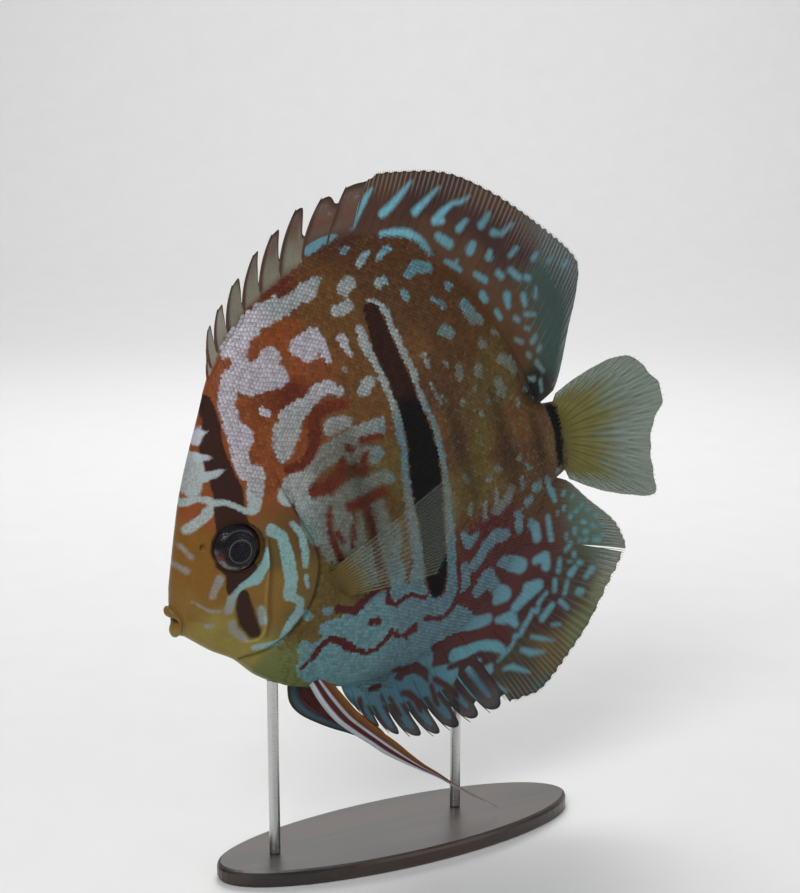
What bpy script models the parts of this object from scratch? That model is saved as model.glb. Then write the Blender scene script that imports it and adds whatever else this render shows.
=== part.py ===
"""A life-size discus fish, swimming nose down, held by a plain stand with two rods.

Every shape is worked out in millimetres in the fish's own frame: x runs from the snout to the tail,
z up to the back and y to the fish's right side, with y = 0 on the middle of the fish.
The empty fish_pose then tips the fish nose down and lifts it over the stand.
"""

import bisect
import math

import bmesh
import bpy
from mathutils import Matrix, Vector

MM = 0.001
GAP = 0.3

# Pose and stand
NOSE_DOWN = math.radians(14.0)
FISH_HEIGHT = 113.5
BASE_LENGTH, BASE_WIDTH, BASE_HEIGHT = 110.0, 36.0, 4.5
BASE_CHAMFER = 1.0
ROD_RADIUS = 1.5
FRONT_ROD_X, FRONT_ROD_Y = -38.5, 0.0
REAR_ROD_X, REAR_ROD_Y = 20.0, 3.6

# Body outline and thickness, each as (x, value)
SNOUT_X, TAIL_END_X, TAIL_CUT_X = -73.4, 50.0, 41.0
BACK = (
    (SNOUT_X, -17.5), (-70.6, -10.5), (-66.0, 1.0), (-63.0, 8.0), (-58.0, 17.5), (-53.0, 26.0), (-47.0, 36.0),
    (-40.0, 43.0), (-32.0, 48.5), (-16.0, 54.0), (-3.0, 55.0), (13.0, 51.0), (26.0, 40.5),
    (37.0, 22.0), (42.0, 8.0), (44.2, 0.0), (46.0, -2.8), (TAIL_END_X, -3.4),
)
BELLY = (
    (SNOUT_X, -25.5), (-70.0, -29.5), (-66.0, -34.0), (-61.0, -38.5), (-56.0, -45.5), (-48.0, -52.0),
    (-41.0, -55.5), (-31.0, -59.0), (-18.0, -61.0), (-4.0, -60.0), (10.0, -55.5), (24.0, -46.0),
    (35.0, -35.0), (43.0, -26.5), (TAIL_END_X, -24.0),
)
HALF_WIDTH = (
    (SNOUT_X, 2.6), (-70.0, 4.7), (-66.0, 6.2), (-60.0, 7.7), (-52.0, 8.9), (-42.0, 10.1), (-30.0, 10.9),
    (-15.0, 11.2), (0.0, 10.6), (14.0, 9.3), (28.0, 7.2), (40.0, 5.0), (TAIL_END_X, 3.2),
)
WIDEST_LEVEL = ((SNOUT_X, -21.5), (-60.0, -17.0), (-40.0, -14.0), (-15.0, -8.0), (10.0, -8.0), (TAIL_END_X, -14.0))
RIM = 1.2
RIM_CROWN = ((SNOUT_X, 0.9), (-56.0, 0.9), (-47.0, 0.35), (TAIL_END_X, 0.35))

# Head
GILL_EDGE = (
    (-46.5, 44.0), (-45.5, 34.0), (-42.0, 20.0), (-39.0, 4.0), (-35.8, -8.0), (-34.4, -17.0), (-37.0, -24.5),
    (-41.0, -30.0), (-46.5, -34.2), (-53.5, -36.8), (-60.0, -37.6), (-64.5, -42.0),
)
GILL_LIFT, GILL_LIFT_REACH = 0.9, 9.0
CHEEK_CREASE = ((-43.5, 2.0), (-46.0, -10.0), (-49.0, -23.0), (-53.0, -30.5), (-60.5, -32.5))
CHEEK_DEPTH, CHEEK_REACH = 0.55, 1.7
EYE_X, EYE_Z, EYE_RADIUS, EYE_HALF_DEPTH, EYE_OUT = -54.2, -7.0, 6.6, 4.0, 6.2
SOCKET_RING, SOCKET_RING_REACH = 0.8, 1.5
MOUTH_X, MOUTH_Z = -70.0, -21.8
LIP_HALF_GAPE = 4.2
UPPER_LIP, LOWER_LIP = (-73.3, 2.3, 1.45), (-73.2, -2.7, 1.75)
NOSTRIL_X, NOSTRIL_Z, NOSTRIL_RADIUS = -62.3, -4.5, 0.8

# Fins of the middle: the margin behind the spines as (x, z)
DORSAL_MARGIN = (
    (14.0, 72.0), (31.0, 67.5), (45.0, 58.0), (57.5, 45.0), (65.0, 36.5), (66.8, 31.0), (63.5, 22.5),
    (59.3, 14.8), (54.0, 4.2), (50.0, -1.0), (47.6, -1.5),
)
ANAL_MARGIN = (
    (20.5, -85.8), (26.5, -85.8), (36.0, -80.8), (47.1, -73.6), (57.5, -62.7), (63.6, -55.6), (64.2, -50.9),
    (62.2, -44.6), (55.4, -35.7), (50.0, -28.4), (46.6, -26.4),
)
CAUDAL_MARGIN = (
    (51.5, -1.8), (56.4, -0.5), (63.7, 0.9), (71.8, 1.9), (76.8, 1.5), (80.8, -0.5), (83.5, -5.0), (86.2, -9.7),
    (86.0, -15.2), (81.4, -19.9), (79.2, -25.0), (78.4, -31.0), (78.9, -40.8), (77.6, -42.6), (72.9, -41.2),
    (63.5, -36.8), (56.5, -32.3), (50.9, -28.0),
)
# Spines as (root x, tip x, tip z, how deep the membrane is cut behind the spine)
DORSAL_SPINES = (
    (-48.2, -46.4, 39.9, 0.25), (-46.9, -44.6, 46.3, 0.50), (-44.4, -40.8, 50.5, 0.60), (-40.4, -35.5, 55.2, 0.62),
    (-35.2, -28.0, 61.0, 0.60), (-29.6, -21.9, 64.6, 0.56), (-23.4, -13.9, 68.9, 0.42), (-16.6, -6.2, 69.9, 0.16),
    (-9.8, 1.4, 70.9, 0.04),
)
ANAL_SPINES = (
    (-32.8, -31.4, -65.0, 0.35), (-30.6, -28.2, -71.5, 0.42), (-27.0, -23.2, -77.4, 0.50), (-22.6, -17.4, -81.3, 0.48),
    (-17.6, -10.4, -84.4, 0.40), (-12.6, -4.9, -85.0, 0.29), (-7.2, 1.8, -85.3, 0.20), (-1.8, 8.8, -85.5, 0.13),
)
# Soft rays as (root x, end x, end z); the others are spaced between them
DORSAL_RAYS = (
    (-3.6, 8.6, 71.8), (8.0, 20.3, 71.3), (20.0, 34.5, 65.8), (30.0, 49.0, 54.4), (37.0, 58.0, 44.5),
    (41.0, 65.2, 36.2), (43.2, 65.0, 26.5), (45.2, 50.6, -0.4),
)
ANAL_RAYS = (
    (4.2, 16.3, -86.0), (12.0, 29.5, -84.6), (20.0, 43.6, -76.2), (25.6, 57.0, -63.4), (29.5, 63.7, -55.2),
    (33.5, 63.7, -48.0), (38.0, 58.4, -39.6), (44.4, 48.6, -27.4),
)
DORSAL_SPLIT_X, ANAL_SPLIT_X = 26.0, 29.5
DORSAL_SOFT, ANAL_SOFT, CAUDAL_RAYS = (11, 11), (9, 9), 14
MEMBRANE, RAY_RIDGE = 0.28, 0.24
ROOT_HALF = 1.05
TEAR_FROM, TEAR_WIDTH = 0.48, 1.1
LEADING = ((0.0, 1.0), (0.28, 0.95), (0.58, 0.82))
ROUNDED = ((0.0, 0.93), (0.2, 1.0), (0.45, 0.985), (0.68, 0.92))

# Paired fins
PECTORAL_BASE = (-31.8, -26.0)
PECTORAL_LIFT, PECTORAL_SPLAY = math.radians(24.0), math.radians(25.0)
PECTORAL_RAYS = 10
NEAR_PELVIC_FRONT = (
    (-43.0, -52.2), (-41.3, -59.0), (-38.4, -65.8), (-34.4, -71.5), (-31.2, -75.6), (-27.6, -80.4), (-23.0, -85.3),
    (-18.6, -89.7), (-14.2, -94.2), (-8.6, -101.3), (0.7, -110.6),
)
NEAR_PELVIC_REAR = (
    (-38.6, -51.8), (-36.4, -56.3), (-34.3, -61.0), (-32.2, -65.7), (-29.6, -70.0), (-26.8, -74.3), (-23.3, -79.2),
    (-20.5, -83.7), (-16.9, -89.0), (-12.8, -93.8), (1.2, -110.4),
)
FAR_PELVIC_FRONT = (
    (-45.8, -50.0), (-47.2, -55.0), (-47.3, -59.0), (-45.2, -63.3), (-40.7, -68.2), (-37.0, -71.6), (-32.2, -75.6),
    (-26.0, -81.4), (-20.6, -88.0), (-14.9, -94.7),
)
FAR_PELVIC_REAR = (
    (-37.5, -52.0), (-36.0, -56.0), (-34.6, -60.5), (-32.6, -65.0), (-29.8, -69.0), (-27.0, -73.0), (-24.0, -77.4),
    (-20.8, -82.4), (-17.6, -88.4), (-14.2, -94.4),
)


def clear_scene():
    """Empties the file that the script was started from."""
    for item in list(bpy.data.objects):
        bpy.data.objects.remove(item)


def finish_of(name, colour, roughness, metallic=0.0):
    """A Principled material of one colour."""
    material = bpy.data.materials.new(name)
    material.use_nodes = True
    shader = material.node_tree.nodes["Principled BSDF"]
    shader.inputs["Base Color"].default_value = (*colour, 1.0)
    shader.inputs["Roughness"].default_value = roughness
    shader.inputs["Metallic"].default_value = metallic
    return material


def steady_curve(points):
    """A smooth function through (x, value) points that never overshoots between them."""
    xs = [p[0] for p in points]
    ys = [p[1] for p in points]
    steps = [(ys[i + 1] - ys[i]) / (xs[i + 1] - xs[i]) for i in range(len(xs) - 1)]
    slopes = [steps[0]]
    for before, after in zip(steps, steps[1:]):
        slopes.append(0.0 if before * after <= 0 else 2 * before * after / (before + after))
    slopes.append(steps[-1])

    def value(x):
        i = min(max(bisect.bisect_right(xs, x) - 1, 0), len(xs) - 2)
        width = xs[i + 1] - xs[i]
        t = min(max((x - xs[i]) / width, 0.0), 1.0)
        start, end = (1 + 2 * t) * (1 - t) ** 2, t * t * (3 - 2 * t)
        leave, arrive = t * (1 - t) ** 2, t * t * (t - 1)
        return start * ys[i] + end * ys[i + 1] + width * (leave * slopes[i] + arrive * slopes[i + 1])

    return value


def smooth_path(points, pieces=12):
    """A polyline through the points, rounded by a Catmull-Rom curve."""
    knots = [Vector(p) for p in points]
    knots = [knots[0] * 2 - knots[1], *knots, knots[-1] * 2 - knots[-2]]
    line = []
    for a, b, c, d in zip(knots, knots[1:], knots[2:], knots[3:]):
        for k in range(pieces):
            t = k / pieces
            line.append(
                0.5 * (2 * b + (c - a) * t + (2 * a - 5 * b + 4 * c - d) * t**2 + (3 * b - a - 3 * c + d) * t**3)
            )
    return [*line, knots[-2]]


def along(line):
    """A function that gives the point at a share of the polyline's length."""
    reached = [0.0]
    for a, b in zip(line, line[1:]):
        reached.append(reached[-1] + (b - a).length)

    def point(share):
        want = min(max(share, 0.0), 1.0) * reached[-1]
        i = min(max(bisect.bisect_right(reached, want) - 1, 0), len(line) - 2)
        return line[i].lerp(line[i + 1], (want - reached[i]) / max(reached[i + 1] - reached[i], 1e-9))

    return point


def share_near(line, place):
    """The share of a polyline's length at which it comes nearest to a place."""
    reached, total, best = 0.0, sum((b - a).length for a, b in zip(line, line[1:])), (1e9, 0.0)
    place = Vector(place)
    for a, b in zip(line, line[1:]):
        run = b - a
        t = min(max((place - a).dot(run) / run.length_squared, 0.0), 1.0)
        away = (place - a - run * t).length
        best = min(best, (away, (reached + run.length * t) / total))
        reached += run.length
    return best[1]


def distance_to(line, x, z):
    """Distance in the side view from (x, z) to a polyline."""
    best = 1e9
    place = Vector((x, z))
    for a, b in zip(line, line[1:]):
        run = b - a
        t = min(max((place - a).dot(run) / run.length_squared, 0.0), 1.0)
        best = min(best, (place - a - run * t).length)
    return best


back, belly = steady_curve(BACK), steady_curve(BELLY)
half_width, widest_level = steady_curve(HALF_WIDTH), steady_curve(WIDEST_LEVEL)
rim_crown = steady_curve(RIM_CROWN)
gill_edge = smooth_path(GILL_EDGE, 4)
cheek_crease = smooth_path(CHEEK_CREASE, 4)


def flank(x, z, rim=RIM):
    """Half the body's thickness at a place in the side view."""
    middle = widest_level(x)
    upper = z >= middle
    reach = back(x) - middle if upper else middle - belly(x)
    share = min(abs(z - middle) / reach, 1.0)
    power, fullness = (2.0, 0.68) if upper else (2.2, 0.60)
    return rim + (half_width(x) - rim) * (1 - share**power) ** fullness


def head_relief(x, z):
    """How far the head's surface stands out past the plain flank: gill cover, cheek and the ring round the eye."""
    from_edge = distance_to(gill_edge, x, z)
    cover = GILL_LIFT * max(1 - from_edge / GILL_LIFT_REACH, 0.0) ** 1.5
    if z > 0:
        cover *= max(1 - z / 12.0, 0.0)
    crease = -CHEEK_DEPTH * math.exp(-((distance_to(cheek_crease, x, z) / CHEEK_REACH) ** 2))
    from_eye = math.hypot(x - EYE_X, z - EYE_Z)
    ring = SOCKET_RING * math.exp(-(((from_eye - EYE_RADIUS - 0.9) / SOCKET_RING_REACH) ** 2))
    return cover + crease + ring


def body_loft(name, stations, ring_steps, relief=None, grow=0.0):
    """A closed stretch of the body: one ring of points for each station, joined by faces."""
    mesh = bmesh.new()
    rings = []
    for x in stations:
        middle, top, bottom = widest_level(x), back(x) + grow, belly(x) - grow
        side = []
        for k in range(ring_steps * 2 + 1):
            turn = math.pi * k / (ring_steps * 2)
            reach = top - middle if turn <= math.pi / 2 else middle - bottom
            z = middle + reach * math.cos(turn)
            out = flank(x, min(max(z, belly(x)), back(x))) + grow
            if relief and 0 < k < ring_steps * 2:
                out += relief(x, z)
            if k in (0, ring_steps * 2):
                z -= rim_crown(x) * math.cos(turn)
            side.append((out, z))
        ring = [(0.0, top), *((-out, z) for out, z in side), (0.0, bottom), *((out, z) for out, z in reversed(side))]
        rings.append([mesh.verts.new((x * MM, y * MM, z * MM)) for y, z in ring])
    count = len(rings[0])
    for front, rear in zip(rings, rings[1:]):
        for i in range(count):
            j = (i + 1) % count
            mesh.faces.new((front[i], rear[i], rear[j], front[j]))
    mesh.faces.new(rings[0])
    mesh.faces.new(reversed(rings[-1]))
    bmesh.ops.triangulate(mesh, faces=[f for f in mesh.faces if len(f.verts) > 4])
    return object_of(name, mesh)


def object_of(name, mesh):
    """Links a bmesh as an object, its faces turned outwards."""
    bmesh.ops.recalc_face_normals(mesh, faces=mesh.faces)
    data = bpy.data.meshes.new(name)
    mesh.to_mesh(data)
    mesh.free()
    made = bpy.data.objects.new(name, data)
    bpy.context.scene.collection.objects.link(made)
    return made


def spread(start, end, count):
    """Evenly spaced values from start to end."""
    return [start + (end - start) * k / (count - 1) for k in range(count)]


def prism(name, outline, half_depth):
    """A closed slab with this outline in the side view, reaching half_depth to both sides."""
    mesh = bmesh.new()
    near = [mesh.verts.new((x * MM, -half_depth * MM, z * MM)) for x, z in outline]
    far = [mesh.verts.new((x * MM, half_depth * MM, z * MM)) for x, z in outline]
    for i in range(len(outline)):
        j = (i + 1) % len(outline)
        mesh.faces.new((near[i], far[i], far[j], near[j]))
    mesh.faces.new(near)
    mesh.faces.new(reversed(far))
    bmesh.ops.triangulate(mesh, faces=[f for f in mesh.faces if len(f.verts) > 4])
    return object_of(name, mesh)


def ellipsoid(name, centre, radii, segments, rings):
    """A closed ball stretched to three radii, its poles to the fish's sides."""
    mesh = bmesh.new()
    bmesh.ops.create_uvsphere(mesh, u_segments=segments, v_segments=rings, radius=MM)
    turned = Matrix.Rotation(math.radians(90), 4, "X")
    sized = Matrix.Diagonal((radii[0], radii[1], radii[2], 1.0))
    placed = Matrix.Translation(Vector(centre) * MM)
    bmesh.ops.transform(mesh, matrix=placed @ sized @ turned, verts=mesh.verts)
    return object_of(name, mesh)


def combine(target, others, operation):
    """Joins the others to the target, or cuts them from it, and removes them."""
    group = bpy.data.collections.new(f"{target.name}_pieces")
    for other in others:
        group.objects.link(other)
    step = target.modifiers.new("combine", "BOOLEAN")
    step.operation = operation
    step.operand_type = "COLLECTION"
    step.collection = group
    step.solver = "MANIFOLD"
    bpy.context.view_layer.update()
    graph = bpy.context.evaluated_depsgraph_get()
    made = bpy.data.meshes.new_from_object(target.evaluated_get(graph))
    own = list(target.data.materials)
    target.modifiers.clear()
    target.data = made
    made.materials.clear()
    for material in own:
        made.materials.append(material)
    for face in made.polygons:
        face.material_index = 0
    for other in others:
        bpy.data.objects.remove(other)
    bpy.data.collections.remove(group)
    keep_largest(target)


def keep_largest(target):
    """Leaves only the closed surface with the most faces, and splits it into triangles."""
    mesh = bmesh.new()
    mesh.from_mesh(target.data)
    bmesh.ops.triangulate(mesh, faces=mesh.faces)
    left = set(mesh.faces)
    islands = []
    while left:
        found, edge = [], [left.pop()]
        while edge:
            face = edge.pop()
            found.append(face)
            for side in face.edges:
                for other in side.link_faces:
                    if other in left:
                        left.discard(other)
                        edge.append(other)
        islands.append(found)
    islands.sort(key=len)
    for small in islands[:-1]:
        bmesh.ops.delete(mesh, geom=small, context="FACES")
    mesh.to_mesh(target.data)
    mesh.free()


def tube(name, path, radii, sides=10):
    """A closed tube with a radius of its own at each point of its path."""
    mesh = bmesh.new()
    points = [Vector(p) for p in path]
    rings = []
    for i, place in enumerate(points):
        ahead = points[min(i + 1, len(points) - 1)] - points[max(i - 1, 0)]
        ahead.normalize()
        across = ahead.cross(Vector((0.0, 0.0, 1.0))).normalized()
        raised = across.cross(ahead)
        ring = []
        for k in range(sides):
            turn = 2 * math.pi * k / sides
            offset = across * math.cos(turn) + raised * math.sin(turn)
            ring.append(mesh.verts.new((place + offset * radii[i]) * MM))
        rings.append(ring)
    for front, rear in zip(rings, rings[1:]):
        for k in range(sides):
            j = (k + 1) % sides
            mesh.faces.new((front[k], rear[k], rear[j], front[j]))
    for ring, centre in ((rings[0], points[0]), (rings[-1], points[-1])):
        hub = mesh.verts.new(centre * MM)
        for k in range(sides):
            mesh.faces.new((ring[k], ring[(k + 1) % sides], hub))
    return object_of(name, mesh)


def lip(name, front, drop, radius):
    """One lip: a bent roll from corner to corner of the mouth, thickest in the middle."""
    corner = Vector((MOUTH_X, LIP_HALF_GAPE, MOUTH_Z + drop * 0.15))
    path, radii = [], []
    for turn in spread(-90.0, 90.0, 13):
        bend = math.radians(turn)
        ahead = math.cos(bend) ** 0.8 if abs(turn) < 89 else 0.0
        path.append((
            corner.x + (front - corner.x) * ahead,
            LIP_HALF_GAPE * math.sin(bend),
            corner.z + drop * ahead,
        ))
        radii.append(radius * (0.55 + 0.45 * ahead))
    return tube(name, path, radii)


def gill_side(name, towards_tail, shift):
    """Everything on one side of the gill edge, as a slab, its edge moved by shift towards the tail."""
    far = 80.0 if towards_tail else -90.0
    line = []
    for i, place in enumerate(gill_edge):
        run = gill_edge[min(i + 1, len(gill_edge) - 1)] - gill_edge[max(i - 1, 0)]
        run.normalize()
        line.append((place.x - run.y * shift, place.y + run.x * shift))
    outline = [(line[0][0], 75.0), *line, (line[-1][0], -75.0), (far, -75.0), (far, 75.0)]
    return prism(name, outline, 16.0)


def make_head(skin):
    """Skull, cheeks and gill covers, with lips, nostrils and sockets for the eyes."""
    stations = [*spread(SNOUT_X, -66.0, 7), *spread(-64.6, -32.5, 22)]
    head = body_loft("head", stations, 12, relief=head_relief)
    cuts = [gill_side("behind_gill", True, -GAP / 2)]
    for side in (-1, 1):
        cuts.append(
            ellipsoid(
                f"socket{side}", (EYE_X, side * EYE_OUT, EYE_Z),
                (EYE_RADIUS + GAP, EYE_HALF_DEPTH + GAP, EYE_RADIUS + GAP), 20, 10,
            )
        )
        nose = (NOSTRIL_X, side * (flank(NOSTRIL_X, NOSTRIL_Z) + 0.3), NOSTRIL_Z)
        cuts.append(ellipsoid(f"nostril{side}", nose, (NOSTRIL_RADIUS, 1.2, NOSTRIL_RADIUS), 8, 6))
    combine(head, cuts, "DIFFERENCE")
    lips = [lip("upper_lip", *UPPER_LIP), lip("lower_lip", *LOWER_LIP)]
    combine(head, lips, "UNION")
    head.data.materials.append(skin)
    return head


def make_torso(skin):
    """The trunk, from the gill openings to the root of the tail."""
    torso = body_loft("torso", spread(-62.0, TAIL_CUT_X - GAP / 2, 30), 8)
    combine(torso, [gill_side("before_gill", False, GAP / 2)], "DIFFERENCE")
    torso.data.materials.append(skin)
    return torso


def make_tail_stalk(skin):
    """The narrow stalk that carries the tail fin."""
    stalk = body_loft("tail_stalk", spread(TAIL_CUT_X + GAP / 2, TAIL_END_X, 7), 7)
    stalk.data.materials.append(skin)
    return stalk


def make_eyes(iris):
    """Two flattened balls, a hair smaller than their sockets."""
    for name, side in (("eye_left", -1), ("eye_right", 1)):
        eye = ellipsoid(
            name, (EYE_X, side * EYE_OUT, EYE_Z), (EYE_RADIUS, EYE_HALF_DEPTH, EYE_RADIUS), 20, 10
        )
        eye.data.materials.append(iris)


def vane(name, columns, material):
    """A thin fin from columns of (x, y, z, half thickness) that run from root to margin.

    Both faces are split into the same triangles, so that a curved fin keeps its thickness.
    """
    mesh = bmesh.new()
    near = [[mesh.verts.new((x * MM, (y - h) * MM, z * MM)) for x, y, z, h in c] for c in columns]
    far = [[mesh.verts.new((x * MM, (y + h) * MM, z * MM)) for x, y, z, h in c] for c in columns]
    rows = len(columns[0])
    for i in range(len(columns) - 1):
        for j in range(rows - 1):
            for face, flip in ((near, False), (far, True)):
                a, b, c, d = face[i][j], face[i + 1][j], face[i + 1][j + 1], face[i][j + 1]
                for corners in ((a, b, c), (a, c, d)):
                    mesh.faces.new(reversed(corners) if flip else corners)
        for j in (0, rows - 1):
            mesh.faces.new((near[i][j], near[i + 1][j], far[i + 1][j]))
            mesh.faces.new((near[i][j], far[i + 1][j], far[i][j]))
    for i in (0, len(columns) - 1):
        for j in range(rows - 1):
            mesh.faces.new((near[i][j], near[i][j + 1], far[i][j + 1]))
            mesh.faces.new((near[i][j], far[i][j + 1], far[i][j]))
    made = object_of(name, mesh)
    made.data.materials.append(material)
    return made


def ray_column(root, tip, length, ridge, bow=0.0, wave=0.0, rows=7, root_half=ROOT_HALF, aside=None):
    """One line of points down a fin, from its root to length times the way to the margin."""
    run = tip - root
    side = Vector((run.y, -run.x))
    column = []
    for k in range(rows):
        share = (k / (rows - 1)) * length
        place = root + run * share + side * (bow * share * (1 - share))
        if aside:
            place += side.normalized() * aside(share)
        thin = MEMBRANE + (RAY_RIDGE * (1 - 0.5 * share) if ridge else 0.0)
        swell = (root_half - thin) * max(1 - share / 0.34, 0.0) ** 2
        column.append((place.x, wave * share**2, place.y, thin + swell))
    return column


class MiddleFin:
    """A fin of the back or belly: where it is rooted, its margin, and how its rays run between them."""

    def __init__(self, edge, outward, ends, spines, rays, margin, bow):
        self.bow = bow
        line = []
        for x in spread(ends[0], ends[1], 120):
            slope = Vector((0.5, edge(x + 0.25) - edge(x - 0.25))).normalized()
            line.append(Vector((x, edge(x))) + Vector((-slope.y, slope.x)) * GAP * outward)
        self.root_line, self.root = line, along(line)
        rim = smooth_path([*((tip_x, tip_z) for _, tip_x, tip_z, _ in spines), rays[0][1:], *margin])
        self.margin = along(rim)
        guides = [*(spine[:3] for spine in spines), *rays]
        matches = [(share_near(line, (x, edge(x))), share_near(rim, (tip_x, tip_z))) for x, tip_x, tip_z in guides]
        self.match = steady_curve([(0.0 if i == 0 else a, b) for i, (a, b) in enumerate(matches)])
        self.last = matches[-1][0]
        self.shares = [0.0, *(a for a, _ in matches[1:])]
        self.spines, self.rays = spines, rays

    def share_of(self, x, edge):
        """The share of the root's length at which the body's edge reaches x."""
        return share_near(self.root_line, (x, edge(x)))

    def column(self, share, length=1.0, ridge=False, wave=0.0, rows=7, aside=None):
        """The column of points that starts at a share of the root."""
        tip = self.margin(self.match(share))
        return ray_column(self.root(share), tip, length, ridge, self.bow, wave, rows, aside=aside)

    def spiny(self, name, profile, rows, material):
        """The spiny front of the fin: a blade of membrane behind each spine, cut free at its end."""
        columns = []
        ends = self.shares[: len(self.spines) + 1]
        for k, (_, _, _, depth) in enumerate(self.spines):
            width = ends[k + 1] - ends[k]
            for forward, reach in profile:
                full = 1 - (1 - reach) * min(depth / 0.3, 1.0)
                columns.append(self.column(ends[k] + width * forward, full, forward == 0.0, rows=rows))
            columns.append(self.column(ends[k] + width * 0.87, 1 - depth, rows=rows))
        side = self.side_of(ends[-1])
        columns.append(self.column(ends[-1], 1.0, True, rows=rows, aside=lambda share: -side * GAP / 2))
        return vane(name, columns, material)

    def side_of(self, share):
        """Whether the side that a column's aside moves it to is the one towards the tail."""
        root, ahead = self.root(share), self.root(min(share + 0.02, 1.0))
        run = self.margin(self.match(share)) - root
        return 1.0 if (ahead - root).dot(Vector((run.y, -run.x))) > 0 else -1.0

    def soft(self, name, start, end, rays, rows, material, open_start=None, open_end=None):
        """A length of the soft fin between two shares of its root; either end may open towards the margin."""
        side = self.side_of((start + end) / 2)

        def edge_shift(way, opening):
            return lambda share: side * way * (GAP / 2 + (opening(share) if opening else 0.0))

        columns = []
        for k in range(2 * rays + 1):
            share = start + (end - start) * k / (2 * rays)
            aside = None
            if k == 0:
                aside = edge_shift(1.0, open_start)
            elif k == 2 * rays and end < self.last:
                aside = edge_shift(-1.0, open_end)
            ridge = k % 2 == 0
            wave = 0.6 * math.sin(7.0 * math.pi * share)
            columns.append(
                self.column(share, 1.0 if ridge else 0.988, ridge, wave=wave, rows=rows, aside=aside)
            )
        return vane(name, columns, material)


def make_dorsal_fin(colours):
    """The fin of the back, in three lengths: free spines, then soft rays."""
    fin = MiddleFin(back, 1.0, (-48.6, DORSAL_RAYS[-1][0]), DORSAL_SPINES, DORSAL_RAYS, DORSAL_MARGIN, 0.09)
    fin.spiny("dorsal_fin_spines", LEADING, 7, colours["fin"])
    start, split = fin.share_of(DORSAL_RAYS[0][0], back), fin.share_of(DORSAL_SPLIT_X, back)
    fin.soft("dorsal_fin_middle", start, split, DORSAL_SOFT[0], 8, colours["fin"])
    fin.soft("dorsal_fin_rear", split, fin.last, DORSAL_SOFT[1], 8, colours["fin"])


def make_anal_fin(colours):
    """The fin of the belly, in three lengths, with a tear where the second meets the third."""
    fin = MiddleFin(belly, -1.0, (-33.2, ANAL_RAYS[-1][0]), ANAL_SPINES, ANAL_RAYS, ANAL_MARGIN, -0.09)

    def tear(share):
        return TEAR_WIDTH / 2 * max((share - TEAR_FROM) / (1 - TEAR_FROM), 0.0)

    fin.spiny("anal_fin_spines", ROUNDED, 7, colours["fin"])
    start, split = fin.share_of(ANAL_RAYS[0][0], belly), fin.share_of(ANAL_SPLIT_X, belly)
    fin.soft("anal_fin_middle", start, split, ANAL_SOFT[0], 8, colours["fin"], open_end=tear)
    fin.soft("anal_fin_rear", split, fin.last, ANAL_SOFT[1], 8, colours["fin"], open_start=tear)


def make_caudal_fin(colours):
    """The tail fin, fanned out from the end of the stalk, with a gentle wave."""
    margin = along(smooth_path(CAUDAL_MARGIN))
    columns = []
    for k in range(2 * CAUDAL_RAYS + 1):
        share = k / (2 * CAUDAL_RAYS)
        root = Vector((TAIL_END_X + GAP, -4.2 - 19.2 * share))
        wave = 1.8 * math.sin(2.6 * math.pi * share + 0.4)
        half = 0.7 + 1.5 * math.sin(math.pi * share)
        ridge = k % 2 == 0
        columns.append(ray_column(root, margin(share), 1.0 if ridge else 0.985, ridge, 0.0, wave, 8, half))
    vane("caudal_fin", columns, colours["tail"])


def place_sheet(made, origin, length_way, across_way, thick_way):
    """Turns a fin that was modelled in the side view so that its x and z run along two given ways."""
    turn = Matrix((
        (length_way.x, thick_way.x, across_way.x, origin.x * MM),
        (length_way.y, thick_way.y, across_way.y, origin.y * MM),
        (length_way.z, thick_way.z, across_way.z, origin.z * MM),
        (0.0, 0.0, 0.0, 1.0),
    ))
    made.data.transform(turn)
    if turn.determinant() < 0:
        made.data.flip_normals()


def make_pectoral_fins(colours, clearance):
    """The two side fins, fanned out behind the gill covers."""
    for name, side in (("pectoral_fin_left", -1.0), ("pectoral_fin_right", 1.0)):
        columns = []
        for k in range(2 * PECTORAL_RAYS + 1):
            share = k / (2 * PECTORAL_RAYS)
            angle = math.radians(9.0 - 34.0 * share)
            reach = 41.0 - 15.0 * share**1.6
            root = Vector((0.0, 4.2 - 8.4 * share))
            tip = Vector((reach * math.cos(angle), root.y * 0.6 + reach * math.sin(angle)))
            cup = 2.4 * math.sin(math.pi * share)
            ridge = k % 2 == 0
            columns.append(ray_column(root, tip, 1.0 if ridge else 0.98, ridge, 0.05, cup, 6, 1.3))
        fin = vane(name, columns, colours["clear_fin"])
        x, z = PECTORAL_BASE
        origin = Vector((x, side * (flank(x, z) + GAP), z))
        lifted = Vector((math.cos(PECTORAL_LIFT), 0.0, math.sin(PECTORAL_LIFT)))
        length_way = lifted * math.cos(PECTORAL_SPLAY) + Vector((0.0, side * math.sin(PECTORAL_SPLAY), 0.0))
        across_way = Vector((-math.sin(PECTORAL_LIFT), 0.0, math.cos(PECTORAL_LIFT)))
        place_sheet(fin, origin, length_way, across_way, length_way.cross(across_way) * side)
        combine(fin, [clearance()], "DIFFERENCE")


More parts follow.
